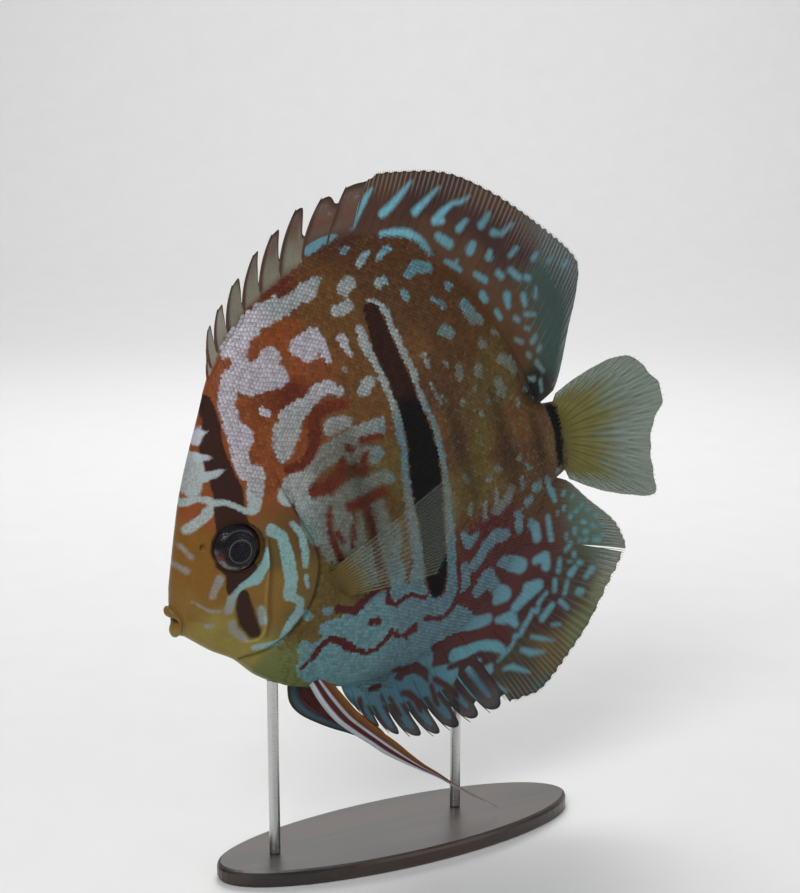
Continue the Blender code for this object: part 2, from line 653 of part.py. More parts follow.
def make_pelvic_fins(colours, clearance):
    """The two belly fins: a blade of a few rays that runs out into a long thread."""
    for name, side, front, rear, lean in (
        ("pelvic_fin_left", -1.0, NEAR_PELVIC_FRONT, NEAR_PELVIC_REAR, 4.2),
        ("pelvic_fin_right", 1.0, FAR_PELVIC_FRONT, FAR_PELVIC_REAR, 3.4),
    ):
        leading, trailing = along(smooth_path(front)), along(smooth_path(rear))
        columns = []
        for k in range(7):
            column = []
            for j in range(19):
                share = j / 18
                place = leading(share).lerp(trailing(share), k / 6)
                ridge = 0.26 if k % 2 == 0 else 0.0
                half = (0.33 + ridge) * (1 - 0.42 * share)
                bulge = 0.9 * math.sin(math.pi * k / 6) * (1 - share)
                column.append((place.x, side * (2.8 + lean * share + bulge), place.y, half))
            columns.append(column)
        fin = vane(name, columns, colours["pelvic"])
        combine(fin, [clearance()], "DIFFERENCE")


def make_stand(colours, fish_pose, clearance):
    """A flat oval base and two straight rods that end just under the fish."""
    mesh = bmesh.new()
    bmesh.ops.create_cone(
        mesh, cap_ends=True, segments=64, radius1=0.5 * MM, radius2=0.5 * MM, depth=BASE_HEIGHT * MM
    )
    bmesh.ops.scale(mesh, vec=(BASE_LENGTH, BASE_WIDTH, 1.0), verts=mesh.verts)
    bmesh.ops.translate(mesh, vec=(0.0, 0.0, BASE_HEIGHT / 2 * MM), verts=mesh.verts)
    base = object_of("stand_base", mesh)
    edge = base.modifiers.new("chamfer", "BEVEL")
    edge.width = BASE_CHAMFER * MM
    edge.segments = 2
    edge.limit_method = "ANGLE"
    base.data.materials.append(colours["base"])
    for name, x, y, top in (
        ("stand_rod_front", FRONT_ROD_X, FRONT_ROD_Y, 60.0),
        ("stand_rod_rear", REAR_ROD_X, REAR_ROD_Y, 80.0),
    ):
        mesh = bmesh.new()
        bottom = BASE_HEIGHT + GAP
        bmesh.ops.create_cone(
            mesh, cap_ends=True, segments=20, radius1=ROD_RADIUS * MM, radius2=ROD_RADIUS * MM,
            depth=(top - bottom) * MM,
        )
        bmesh.ops.translate(mesh, vec=(x * MM, y * MM, (top + bottom) / 2 * MM), verts=mesh.verts)
        rod = object_of(name, mesh)
        cutter = clearance()
        cutter.matrix_world = fish_pose.matrix_world
        combine(rod, [cutter], "DIFFERENCE")
        rod.data.materials.append(colours["rod"])


def main():
    """Builds the fish, poses it and stands it up."""
    clear_scene()
    colours = {
        "skin": finish_of("skin", (0.42, 0.17, 0.06), 0.40),
        "fin": finish_of("fin", (0.16, 0.20, 0.18), 0.45),
        "tail": finish_of("tail_fin", (0.42, 0.42, 0.20), 0.45),
        "clear_fin": finish_of("pectoral_fin", (0.55, 0.42, 0.28), 0.45),
        "pelvic": finish_of("pelvic_fin", (0.45, 0.20, 0.10), 0.45),
        "iris": finish_of("iris", (0.06, 0.03, 0.03), 0.15),
        "base": finish_of("stand_wood", (0.05, 0.03, 0.02), 0.45),
        "rod": finish_of("stand_steel", (0.62, 0.62, 0.60), 0.30, 1.0),
    }
    fish_pose = bpy.data.objects.new("fish_pose", None)
    bpy.context.scene.collection.objects.link(fish_pose)
    fish_pose.location.z = FISH_HEIGHT * MM
    fish_pose.rotation_euler.y = -NOSE_DOWN
    bpy.context.view_layer.update()

    def clearance():
        """The whole body, grown by the gap, to cut away what would touch it."""
        return body_loft("clearance", spread(SNOUT_X, TAIL_END_X, 60), 10, grow=GAP)

    make_head(colours["skin"])
    make_torso(colours["skin"])
    make_tail_stalk(colours["skin"])
    make_eyes(colours["iris"])
    make_dorsal_fin(colours)
    make_anal_fin(colours)
    make_caudal_fin(colours)
    make_pectoral_fins(colours, clearance)
    make_pelvic_fins(colours, clearance)
    for made in list(bpy.context.scene.collection.objects):
        if made is not fish_pose:
            made.parent = fish_pose
    make_stand(colours, fish_pose, clearance)


main()
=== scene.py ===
"""A discus fish as a life-size display model: skin, scales, fins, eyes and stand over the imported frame."""

import logging
import math
from dataclasses import dataclass, field
from enum import Enum

import bpy
import numpy as np
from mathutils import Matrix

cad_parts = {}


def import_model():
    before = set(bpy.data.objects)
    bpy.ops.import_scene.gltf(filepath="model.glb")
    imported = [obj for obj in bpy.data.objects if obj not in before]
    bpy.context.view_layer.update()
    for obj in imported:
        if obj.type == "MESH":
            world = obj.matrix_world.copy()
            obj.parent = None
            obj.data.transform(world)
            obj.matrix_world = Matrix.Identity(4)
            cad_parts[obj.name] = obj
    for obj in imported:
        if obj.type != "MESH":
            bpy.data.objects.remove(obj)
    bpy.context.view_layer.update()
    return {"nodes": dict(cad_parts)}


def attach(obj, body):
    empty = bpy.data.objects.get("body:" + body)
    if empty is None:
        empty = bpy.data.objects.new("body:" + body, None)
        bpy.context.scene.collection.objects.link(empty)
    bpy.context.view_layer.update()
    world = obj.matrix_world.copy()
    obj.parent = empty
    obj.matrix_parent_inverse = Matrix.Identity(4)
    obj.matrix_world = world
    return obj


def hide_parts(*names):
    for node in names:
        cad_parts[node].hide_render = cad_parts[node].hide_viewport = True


logging.basicConfig(level=logging.INFO, format="%(message)s")
log = logging.getLogger("discus")

MM = 0.001
Knots = tuple[tuple[float, float], ...]
Strokes = tuple[tuple[tuple[float, float, float], ...], ...]

# The fish's own frame in the stand's: nose up by LEAN, its middle at FISH_HEIGHT
LEAN = math.radians(14.0)
FISH_HEIGHT = 113.5

# Body outline and thickness in mm, as in the solids
SNOUT_X, TAIL_END_X = -73.4, 50.0
BACK: Knots = (
    (SNOUT_X, -17.5), (-70.6, -10.5), (-66.0, 1.0), (-63.0, 8.0), (-58.0, 17.5), (-53.0, 26.0), (-47.0, 36.0),
    (-40.0, 43.0), (-32.0, 48.5), (-16.0, 54.0), (-3.0, 55.0), (13.0, 51.0), (26.0, 40.5),
    (37.0, 22.0), (42.0, 8.0), (44.2, 0.0), (46.0, -2.8), (TAIL_END_X, -3.4),
)
BELLY: Knots = (
    (SNOUT_X, -25.5), (-70.0, -29.5), (-66.0, -34.0), (-61.0, -38.5), (-56.0, -45.5), (-48.0, -52.0),
    (-41.0, -55.5), (-31.0, -59.0), (-18.0, -61.0), (-4.0, -60.0), (10.0, -55.5), (24.0, -46.0),
    (35.0, -35.0), (43.0, -26.5), (TAIL_END_X, -24.0),
)
HALF_WIDTH: Knots = (
    (SNOUT_X, 2.6), (-70.0, 4.7), (-66.0, 6.2), (-60.0, 7.7), (-52.0, 8.9), (-42.0, 10.1), (-30.0, 10.9),
    (-15.0, 11.2), (0.0, 10.6), (14.0, 9.3), (28.0, 7.2), (40.0, 5.0), (TAIL_END_X, 3.2),
)
WIDEST_LEVEL: Knots = (
    (SNOUT_X, -21.5), (-60.0, -17.0), (-40.0, -14.0), (-15.0, -8.0), (10.0, -8.0), (TAIL_END_X, -14.0),
)
RIM = 1.2
RIM_CROWN: Knots = ((SNOUT_X, 0.9), (-56.0, 0.9), (-47.0, 0.35), (TAIL_END_X, 0.35))
SKIN_INSET = 0.25

# Head
GILL_EDGE: Knots = (
    (-46.5, 44.0), (-45.5, 34.0), (-42.0, 20.0), (-39.0, 4.0), (-35.8, -8.0), (-34.4, -17.0), (-37.0, -24.5),
    (-41.0, -30.0), (-46.5, -34.2), (-53.5, -36.8), (-60.0, -37.6), (-64.5, -42.0),
)
CHEEK_RIDGE: Knots = (
    (-46.8, -8.0), (-47.6, -14.0), (-49.0, -18.0), (-50.6, -22.5), (-51.6, -27.0), (-52.8, -31.0), (-55.0, -32.9),
    (-58.0, -32.6),
)
CHEEK_CREASE: Knots = ((-45.8, -8.0), (-46.6, -14.0), (-48.1, -19.5), (-49.6, -25.0), (-50.6, -29.5), (-52.4, -33.2))
EYE_X, EYE_Z, EYE_RADIUS, EYE_OUT = -54.1, -7.2, 6.35, 6.9
PUPIL_LOW = 0.8
NOSTRIL_X, NOSTRIL_Z = -62.3, -4.5
# Where the scaled trunk begins: the nape, then the edge of the gill cover, then under the throat
SCALED_FROM: Knots = (
    (-47.0, 39.0), (-49.3, 28.0), (-49.5, 18.0), (-48.4, 8.0), (-45.5, 2.5), (-41.0, 4.0), (-38.4, 2.0),
    (-35.8, -8.0), (-34.4, -17.0), (-37.0, -24.5), (-41.0, -30.0), (-46.5, -34.2), (-53.5, -36.8), (-58.5, -39.0),
)

# Fins of the middle: spines as (root x, tip x, tip z, notch behind), rays as (root x, end x, end z)
DORSAL_SPINES = (
    (-48.2, -46.4, 39.9, 0.45), (-46.9, -44.6, 46.3, 0.70), (-44.4, -40.8, 50.5, 0.75), (-40.4, -35.5, 55.2, 0.76),
    (-35.2, -28.0, 61.0, 0.72), (-29.6, -21.9, 64.6, 0.64), (-23.4, -13.9, 68.9, 0.50), (-16.6, -6.2, 69.9, 0.20),
    (-9.8, 1.4, 70.9, 0.04),
)
ANAL_SPINES = (
    (-32.8, -31.4, -65.0, 0.35), (-30.6, -28.2, -71.5, 0.42), (-27.0, -23.2, -77.4, 0.50), (-22.6, -17.4, -81.3, 0.48),
    (-17.6, -10.4, -84.4, 0.40), (-12.6, -4.9, -85.0, 0.29), (-7.2, 1.8, -85.3, 0.20), (-1.8, 8.8, -85.5, 0.13),
)
DORSAL_RAYS = (
    (-3.6, 8.6, 71.8), (8.0, 20.3, 71.3), (20.0, 34.5, 65.8), (30.0, 49.0, 54.4), (37.0, 58.0, 44.5),
    (41.0, 65.2, 36.2), (43.2, 65.0, 26.5), (45.2, 50.6, -0.4),
)
ANAL_RAYS = (
    (4.2, 16.3, -86.0), (12.0, 29.5, -84.6), (20.0, 43.6, -76.2), (25.6, 57.0, -63.4), (29.5, 63.7, -55.2),
    (33.5, 63.7, -48.0), (38.0, 58.4, -39.6), (44.4, 48.6, -27.4),
)
DORSAL_MARGIN: Knots = (
    (14.0, 72.0), (31.0, 67.5), (45.0, 58.0), (57.5, 45.0), (65.0, 36.5), (66.8, 31.0), (63.5, 22.5),
    (59.3, 14.8), (54.0, 4.2), (50.0, -1.0), (47.6, -1.5),
)
ANAL_MARGIN: Knots = (
    (20.5, -85.8), (26.5, -85.8), (36.0, -80.8), (47.1, -73.6), (57.5, -62.7), (63.6, -55.6), (64.2, -50.9),
    (62.2, -44.6), (55.4, -35.7), (50.0, -28.4), (46.6, -26.4),
)
CAUDAL_MARGIN: Knots = (
    (51.5, -1.8), (56.4, -0.5), (63.7, 0.9), (71.8, 1.9), (76.8, 1.5), (80.8, -0.5), (83.5, -5.0), (86.2, -9.7),
    (86.0, -15.2), (81.4, -19.9), (79.2, -25.0), (78.4, -31.0), (78.9, -40.8), (77.6, -42.6), (72.9, -41.2),
    (63.5, -36.8), (56.5, -32.3), (50.9, -28.0),
)
LEADING: Knots = (
    (0.0, 0.985), (0.08, 1.0), (0.24, 0.995), (0.35, 0.97), (0.44, 0.91), (0.54, 0.82), (0.66, 0.69), (0.8, 0.52),
)
ROUNDED: Knots = (
    (0.0, 0.88), (0.1, 0.955), (0.24, 0.995), (0.38, 1.0), (0.5, 0.985), (0.62, 0.95), (0.72, 0.89), (0.8, 0.82),
)
TEAR_ROOT_X, TEAR_FROM, TEAR_WIDTH = 29.5, 0.48, 1.1

# Paired fins
PECTORAL_BASE = (-31.8, -26.0)
PECTORAL_LIFT, PECTORAL_SPLAY = math.radians(24.0), math.radians(25.0)
NEAR_PELVIC_FRONT: Knots = (
    (-43.0, -52.2), (-41.3, -59.0), (-38.4, -65.8), (-34.4, -71.5), (-31.2, -75.6), (-27.6, -80.4), (-23.0, -85.3),
    (-18.6, -89.7), (-14.2, -94.2), (-8.6, -101.3), (0.7, -110.6),
)
NEAR_PELVIC_REAR: Knots = (
    (-38.6, -51.8), (-36.4, -56.3), (-34.3, -61.0), (-32.2, -65.7), (-29.6, -70.0), (-26.8, -74.3), (-23.3, -79.2),
    (-20.5, -83.7), (-16.9, -89.0), (-12.8, -93.8), (1.2, -110.4),
)
FAR_PELVIC_FRONT: Knots = (
    (-45.8, -50.0), (-47.2, -55.0), (-47.3, -59.0), (-45.2, -63.3), (-40.7, -68.2), (-37.0, -71.6), (-32.2, -75.6),
    (-26.0, -81.4), (-20.6, -88.0), (-14.9, -94.7),
)
FAR_PELVIC_REAR: Knots = (
    (-37.5, -52.0), (-36.0, -56.0), (-34.6, -60.5), (-32.6, -65.0), (-29.8, -69.0), (-27.0, -73.0), (-24.0, -77.4),
    (-20.8, -82.4), (-17.6, -88.4), (-14.2, -94.4),
)

# Stand
BASE_LENGTH, BASE_WIDTH, BASE_HEIGHT, BASE_CHAMFER = 110.0, 36.0, 4.5, 1.0
ROD_RADIUS = 1.5
FRONT_ROD, REAR_ROD = (-38.5, 0.0), (20.0, 3.6)

# Camera
AIM = (0.0, 0.0, FISH_HEIGHT)
VIEW_AZIMUTH, VIEW_ELEVATION, VIEW_DISTANCE, LENS = -28.0, 11.0, 0.42, 62.65


def linear(red: float, green: float, blue: float) -> tuple[float, float, float]:
    """A colour seen on a screen (0 to 255) as the linear values a shader takes."""
    seen = (red / 255.0, green / 255.0, blue / 255.0)
    return tuple(v / 12.92 if v <= 0.04045 else ((v + 0.055) / 1.055) ** 2.4 for v in seen)


class Tone(Enum):
    """The fish's colours, named as a painter of the model would."""

    RUST = linear(126, 66, 31)
    RED_BROWN = linear(92, 38, 20)
    BROWN = linear(82, 53, 28)
    OLIVE = linear(92, 74, 34)
    OCHRE = linear(118, 88, 38)
    ORANGE = linear(118, 80, 27)
    CHIN = linear(130, 116, 56)
    THROAT = linear(98, 104, 58)
    ROSE = linear(96, 66, 48)
    MAROON = linear(74, 26, 24)
    WINE = linear(56, 25, 24)
    FIN_BROWN = linear(74, 44, 32)
    SMOKE = linear(48, 72, 68)
    SEA = linear(78, 100, 84)
    SLATE = linear(60, 52, 38)
    AMBER = linear(100, 67, 32)
    FIN_GREEN = linear(122, 120, 104)
    TAN = linear(106, 86, 38)
    LILAC = linear(132, 130, 124)
    AQUA = linear(124, 164, 164)
    NIGHT = linear(7, 11, 15)
    BAR_BROWN = linear(46, 27, 23)
    WHITE = linear(186, 188, 200)
    FROST = linear(158, 172, 172)
    MIST = linear(112, 122, 114)
    TURQUOISE = linear(96, 146, 160)
    TEAL_GREY = linear(90, 130, 142)
    LAGOON = linear(92, 146, 158)
    SKY = linear(112, 182, 200)
    LOBE_GREY = linear(142, 138, 128)
    LOBE_TAN = linear(134, 116, 98)
    LOBE_RUST = linear(100, 66, 50)
    LOBE_DARK = linear(48, 28, 24)
    LOBE_GREEN = linear(18, 42, 46)
    SEA_DEEP = linear(58, 100, 116)
    TAIL_ROOT = linear(96, 88, 36)
    TAIL = linear(112, 107, 44)
    TAIL_EDGE = linear(86, 108, 90)
    TAIL_LINE = linear(170, 160, 104)
    TAIL_RAY = linear(104, 92, 40)
    VEIL = linear(116, 122, 112)
    RAY_LIGHT = linear(156, 142, 116)
    RAY_PALE = linear(150, 158, 140)
    RAY_DARK = linear(34, 46, 44)



def to_world(places: np.ndarray) -> np.ndarray:
    """Moves points from the fish's frame, in mm, to the stand's, in metres.

    Args:
        places: An array of (x, y, z) rows.

    Returns:
        An array of the same shape.
    """
    c, s = math.cos(LEAN), math.sin(LEAN)
    x, y, z = places[:, 0], places[:, 1], places[:, 2]
    return np.column_stack((x * c - z * s, y, FISH_HEIGHT + x * s + z * c)) * MM


def ease(low: float, high: float, value: np.ndarray) -> np.ndarray:
    """A smooth step from 0 at low to 1 at high."""
    t = np.clip((value - low) / (high - low), 0.0, 1.0)
    return t * t * (3 - 2 * t)


@dataclass(frozen=True)
class Steady:
    """A smooth curve through its knots that never overshoots between them."""

    knots: Knots

    def __call__(self, x: np.ndarray) -> np.ndarray:
        """The curve's values at x."""
        xs, ys = np.array(self.knots, float).T
        steps = np.diff(ys) / np.diff(xs)
        before, after = steps[:-1], steps[1:]
        both = np.where(before * after > 0, before + after, 1.0)
        middle = np.where(before * after > 0, 2 * before * after / both, 0.0)
        slopes = np.concatenate((steps[:1], middle, steps[-1:]))
        i = np.clip(np.searchsorted(xs, x, side="right") - 1, 0, len(xs) - 2)
        width = xs[i + 1] - xs[i]
        t = np.clip((x - xs[i]) / width, 0.0, 1.0)
        start, end = (1 + 2 * t) * (1 - t) ** 2, t * t * (3 - 2 * t)
        leave, arrive = t * (1 - t) ** 2, t * t * (t - 1)
        return start * ys[i] + end * ys[i + 1] + width * (leave * slopes[i] + arrive * slopes[i + 1])


def rounded(points: tuple, pieces: int = 12) -> np.ndarray:
    """A polyline through the points, rounded by a Catmull-Rom curve."""
    knots = np.array(points, float)
    knots = np.vstack((knots[:1] * 2 - knots[1:2], knots, knots[-1:] * 2 - knots[-2:-1]))
    t = (np.arange(pieces) / pieces)[:, None]
    line = []
    for a, b, c, d in zip(knots, knots[1:], knots[2:], knots[3:]):
        line.append(
            0.5 * (2 * b + (c - a) * t + (2 * a - 5 * b + 4 * c - d) * t**2 + (3 * b - a - 3 * c + d) * t**3)
        )
    return np.vstack((*line, knots[-2:-1]))


class Along:
    """Points at shares of a polyline's length."""

    def __init__(self, line: np.ndarray) -> None:
        """Measures the line once."""
        self.line = line
        runs = np.linalg.norm(np.diff(line, axis=0), axis=1)
        self.reached = np.concatenate(([0.0], np.cumsum(runs)))
        self.length = float(self.reached[-1])

    def __call__(self, share: np.ndarray) -> np.ndarray:
        """The places at these shares, with one row each."""
        want = np.clip(share, 0.0, 1.0) * self.length
        return np.stack([np.interp(want, self.reached, self.line[:, k]) for k in range(self.line.shape[1])], -1)

    def share_near(self, place: tuple[float, float]) -> float:
        """The share at which the line comes nearest to a place."""
        a, run = self.line[:-1], np.diff(self.line, axis=0)
        length2 = np.maximum((run**2).sum(1), 1e-12)
        t = np.clip(((np.array(place) - a) * run).sum(1) / length2, 0.0, 1.0)
        away = np.linalg.norm(a + run * t[:, None] - place, axis=1)
        i = int(np.argmin(away))
        return float((self.reached[i] + math.sqrt(length2[i]) * t[i]) / self.length)


def distance_to(line: np.ndarray, x: np.ndarray, z: np.ndarray) -> np.ndarray:
    """Distance in the side view from each (x, z) to a polyline."""
    best = np.full(np.shape(x), 1e9)
    for a, b in zip(line, line[1:]):
        run = b - a
        t = np.clip(((x - a[0]) * run[0] + (z - a[1]) * run[1]) / max(float(run @ run), 1e-12), 0.0, 1.0)
        best = np.minimum(best, np.hypot(x - a[0] - run[0] * t, z - a[1] - run[1] * t))
    return best


def inside(outline: np.ndarray, x: np.ndarray, z: np.ndarray) -> np.ndarray:
    """Whether each (x, z) lies inside a closed outline."""
    found = np.zeros(np.shape(x), bool)
    for a, b in zip(outline, np.roll(outline, -1, axis=0)):
        if a[1] == b[1]:
            continue
        crosses = (a[1] > z) != (b[1] > z)
        found ^= crosses & (x < (b[0] - a[0]) * (z - a[1]) / (b[1] - a[1]) + a[0])
    return found


# Markings in the side view, each stroke a run of (x, z, half width) in mm. Pale strokes lie on the ground colour,
# warm lines on the pale, the dark bars on both, and the pale squiggles over the bars.
PALE_HEAD: Strokes = (
    ((-67.0, -3.0, 0.5), (-65.5, -6.5, 0.6)),
    ((-69.5, -7.5, 0.6), (-67.5, -9.5, 0.8)),
    ((-60.5, -13.5, 1.1), (-63.5, -17.5, 0.9)),
    ((-68.5, -17.5, 0.2), (-65.0, -21.3, 0.4), (-62.5, -22.2, 0.3)),
    ((-66.6, -25.2, 0.7), (-65.4, -25.4, 0.6)),
    ((-60.5, -22.5, 1.2), (-59.0, -19.5, 1.1), (-55.0, -17.0, 0.9), (-51.5, -16.5, 1.7), (-48.5, -13.5, 1.1),
     (-47.3, -9.5, 0.4)),
    ((-60.6, -26.5, 1.1), (-60.5, -28.5, 1.1), (-58.5, -31.5, 1.0)),
    ((-52.5, -25.0, 0.9), (-52.8, -28.5, 1.1)),
    ((-44.8, -5.5, 1.6), (-42.5, -8.0, 1.4), (-42.5, -14.0, 1.7), (-43.0, -20.0, 1.8), (-44.5, -24.0, 1.6),
     (-42.0, -26.5, 0.9), (-43.5, -29.5, 1.2), (-46.5, -32.0, 1.1), (-48.5, -34.5, 1.1)),
    ((-39.3, -5.4, 0.7), (-37.6, -9.0, 0.9), (-37.8, -14.0, 1.0), (-38.6, -17.5, 0.8)),
    ((-39.2, -20.5, 0.6), (-39.4, -23.5, 0.4)),
    ((-56.5, -34.8, 0.8), (-52.0, -35.8, 1.0), (-49.5, -35.6, 0.8)),
    ((-53.3, 24.0, 0.5), (-55.2, 21.0, 1.1)),
    ((-57.4, 16.6, 2.2), (-60.2, 10.6, 2.3)),
    ((-56.2, 17.0, 1.1), (-53.4, 16.3, 0.2)),
    ((-56.5, 12.3, 1.2), (-51.3, 12.9, 0.2)),
    ((-63.4, 7.0, 0.9), (-60.0, 7.5, 0.8), (-56.4, 6.0, 0.9)),
    ((-64.5, 0.5, 1.1), (-60.0, 2.6, 1.3), (-57.3, 4.6, 1.3)),
    ((-42.0, -43.0, 1.6), (-43.6, -40.0, 2.0)),
    ((-41.2, -30.6, 1.3), (-40.8, -32.0, 1.2)),
    ((-35.9, -32.0, 1.2), (-34.8, -32.8, 1.1)),
)
PALE_FRONT: Strokes = (
    ((-43.6, 33.6, 2.2), (-46.5, 28.0, 2.0), (-46.6, 23.0, 2.2), (-45.6, 19.5, 3.2), (-47.3, 15.0, 2.0),
     (-47.0, 10.5, 1.9)),
    ((-44.8, 9.5, 2.3), (-46.2, 5.0, 2.2), (-47.3, 1.6, 1.7)),
    ((-39.6, 31.6, 3.0), (-32.0, 31.4, 2.9)),
    ((-40.0, 36.0, 3.2), (-32.6, 36.3, 2.9)),
    ((-43.0, 35.0, 2.0), (-40.5, 39.5, 2.2), (-38.0, 42.0, 2.3)),
    ((-42.2, 40.4, 1.3), (-38.8, 43.4, 1.5), (-35.0, 46.0, 1.7), (-30.5, 47.6, 1.7), (-26.0, 48.8, 1.1)),
    ((-38.5, 41.5, 2.4), (-33.0, 45.2, 2.2), (-28.0, 46.4, 2.2), (-22.0, 48.0, 1.8), (-17.0, 49.2, 2.3),
     (-14.3, 51.0, 1.3)),
    ((-24.6, 36.8, 2.4), (-20.4, 37.4, 3.0)),
    ((-23.2, 34.4, 1.8), (-21.5, 34.2, 1.8)),
    ((-19.0, 36.0, 1.9), (-18.1, 31.6, 1.1)),
    ((-12.6, 35.4, 1.4), (-12.0, 31.4, 0.8)),
    ((-14.4, 28.2, 0.6), (-14.2, 27.2, 0.5)),
    ((-38.3, 23.9, 1.0), (-37.5, 23.4, 1.1)),
    ((-36.6, 12.6, 2.4), (-34.4, 17.0, 3.6), (-31.6, 21.0, 2.9), (-27.0, 22.3, 1.9), (-24.0, 24.5, 1.9),
     (-20.0, 25.0, 1.9), (-17.4, 22.8, 1.3)),
    ((-10.8, 21.3, 2.0), (-8.9, 22.7, 1.8)),
    ((-11.9, 42.3, 1.5), (-8.4, 42.6, 1.6)),
    ((-8.0, 46.9, 1.7), (-5.6, 48.0, 1.8)),
    ((-7.0, 36.0, 1.2), (-6.9, 32.0, 1.6), (-6.0, 28.5, 1.3), (-5.0, 25.0, 1.1), (-4.2, 20.0, 1.3),
     (-3.7, 16.0, 1.3), (-3.5, 12.0, 1.3), (-3.7, 8.0, 1.1), (-4.0, 5.0, 1.0), (-3.8, 2.0, 0.9), (-4.6, -1.0, 1.1),
     (-5.4, -6.0, 1.4), (-5.8, -11.0, 1.5), (-6.3, -16.0, 1.6), (-6.6, -22.0, 1.6), (-7.0, -28.0, 2.0),
     (-8.5, -34.0, 2.2)),
    ((-2.5, 42.3, 0.5), (0.0, 41.2, 1.0), (1.7, 38.0, 1.0), (1.9, 33.0, 1.0), (2.8, 29.0, 1.0), (3.4, 25.0, 1.1),
     (4.5, 21.5, 1.0), (4.4, 17.5, 0.8), (4.9, 14.0, 1.0), (5.6, 10.0, 0.9), (6.6, 7.0, 0.9), (7.0, 3.0, 0.9),
     (6.8, -2.0, 0.9), (6.5, -8.0, 0.9), (5.7, -15.0, 1.0), (4.7, -22.0, 1.3), (3.9, -28.0, 1.5), (3.1, -34.0, 1.6),
     (2.3, -40.0, 1.7), (0.0, -44.6, 2.4), (-4.0, -44.6, 2.0)),
    ((-38.4, 1.8, 2.8), (-36.0, 3.6, 2.9), (-31.0, 5.6, 2.5), (-27.0, 8.0, 2.8), (-24.0, 9.6, 2.0),
     (-18.0, 11.2, 1.8), (-12.0, 11.5, 1.5), (-8.4, 11.6, 1.2)),
    ((-33.6, -1.0, 3.3), (-34.2, -7.0, 2.7), (-33.6, -12.0, 2.0)),
    ((-22.2, 14.8, 2.4), (-18.2, 14.8, 1.7)),
    ((-19.5, 5.1, 0.9), (-18.6, 5.3, 0.9)),
    ((-12.9, 2.8, 1.6), (-11.5, 4.6, 1.3)),
    ((-26.4, -2.6, 1.5), (-20.0, -2.0, 1.9), (-15.6, -2.8, 1.6)),
    ((-11.7, -2.1, 1.6), (-9.4, -4.2, 1.1)),
    ((-20.8, -9.8, 0.9), (-21.4, -16.5, 1.1)),
    ((-14.3, -9.0, 1.2), (-15.7, -14.0, 1.5), (-16.2, -19.0, 1.3)),
    ((-25.2, -6.5, 1.2), (-26.3, -17.0, 1.3)),
    ((-31.6, -6.0, 1.0), (-32.0, -15.0, 1.1)),
    ((-30.0, -19.0, 1.1), (-30.6, -25.0, 1.0)),
    ((-24.5, -20.5, 1.0), (-25.0, -28.0, 1.1)),
    ((-20.4, -20.0, 1.0), (-21.0, -29.0, 1.1)),
    ((-13.6, -24.5, 1.4), (-14.6, -33.5, 2.2)),
    ((-11.2, -17.0, 0.9), (-11.6, -23.0, 0.9)),
)
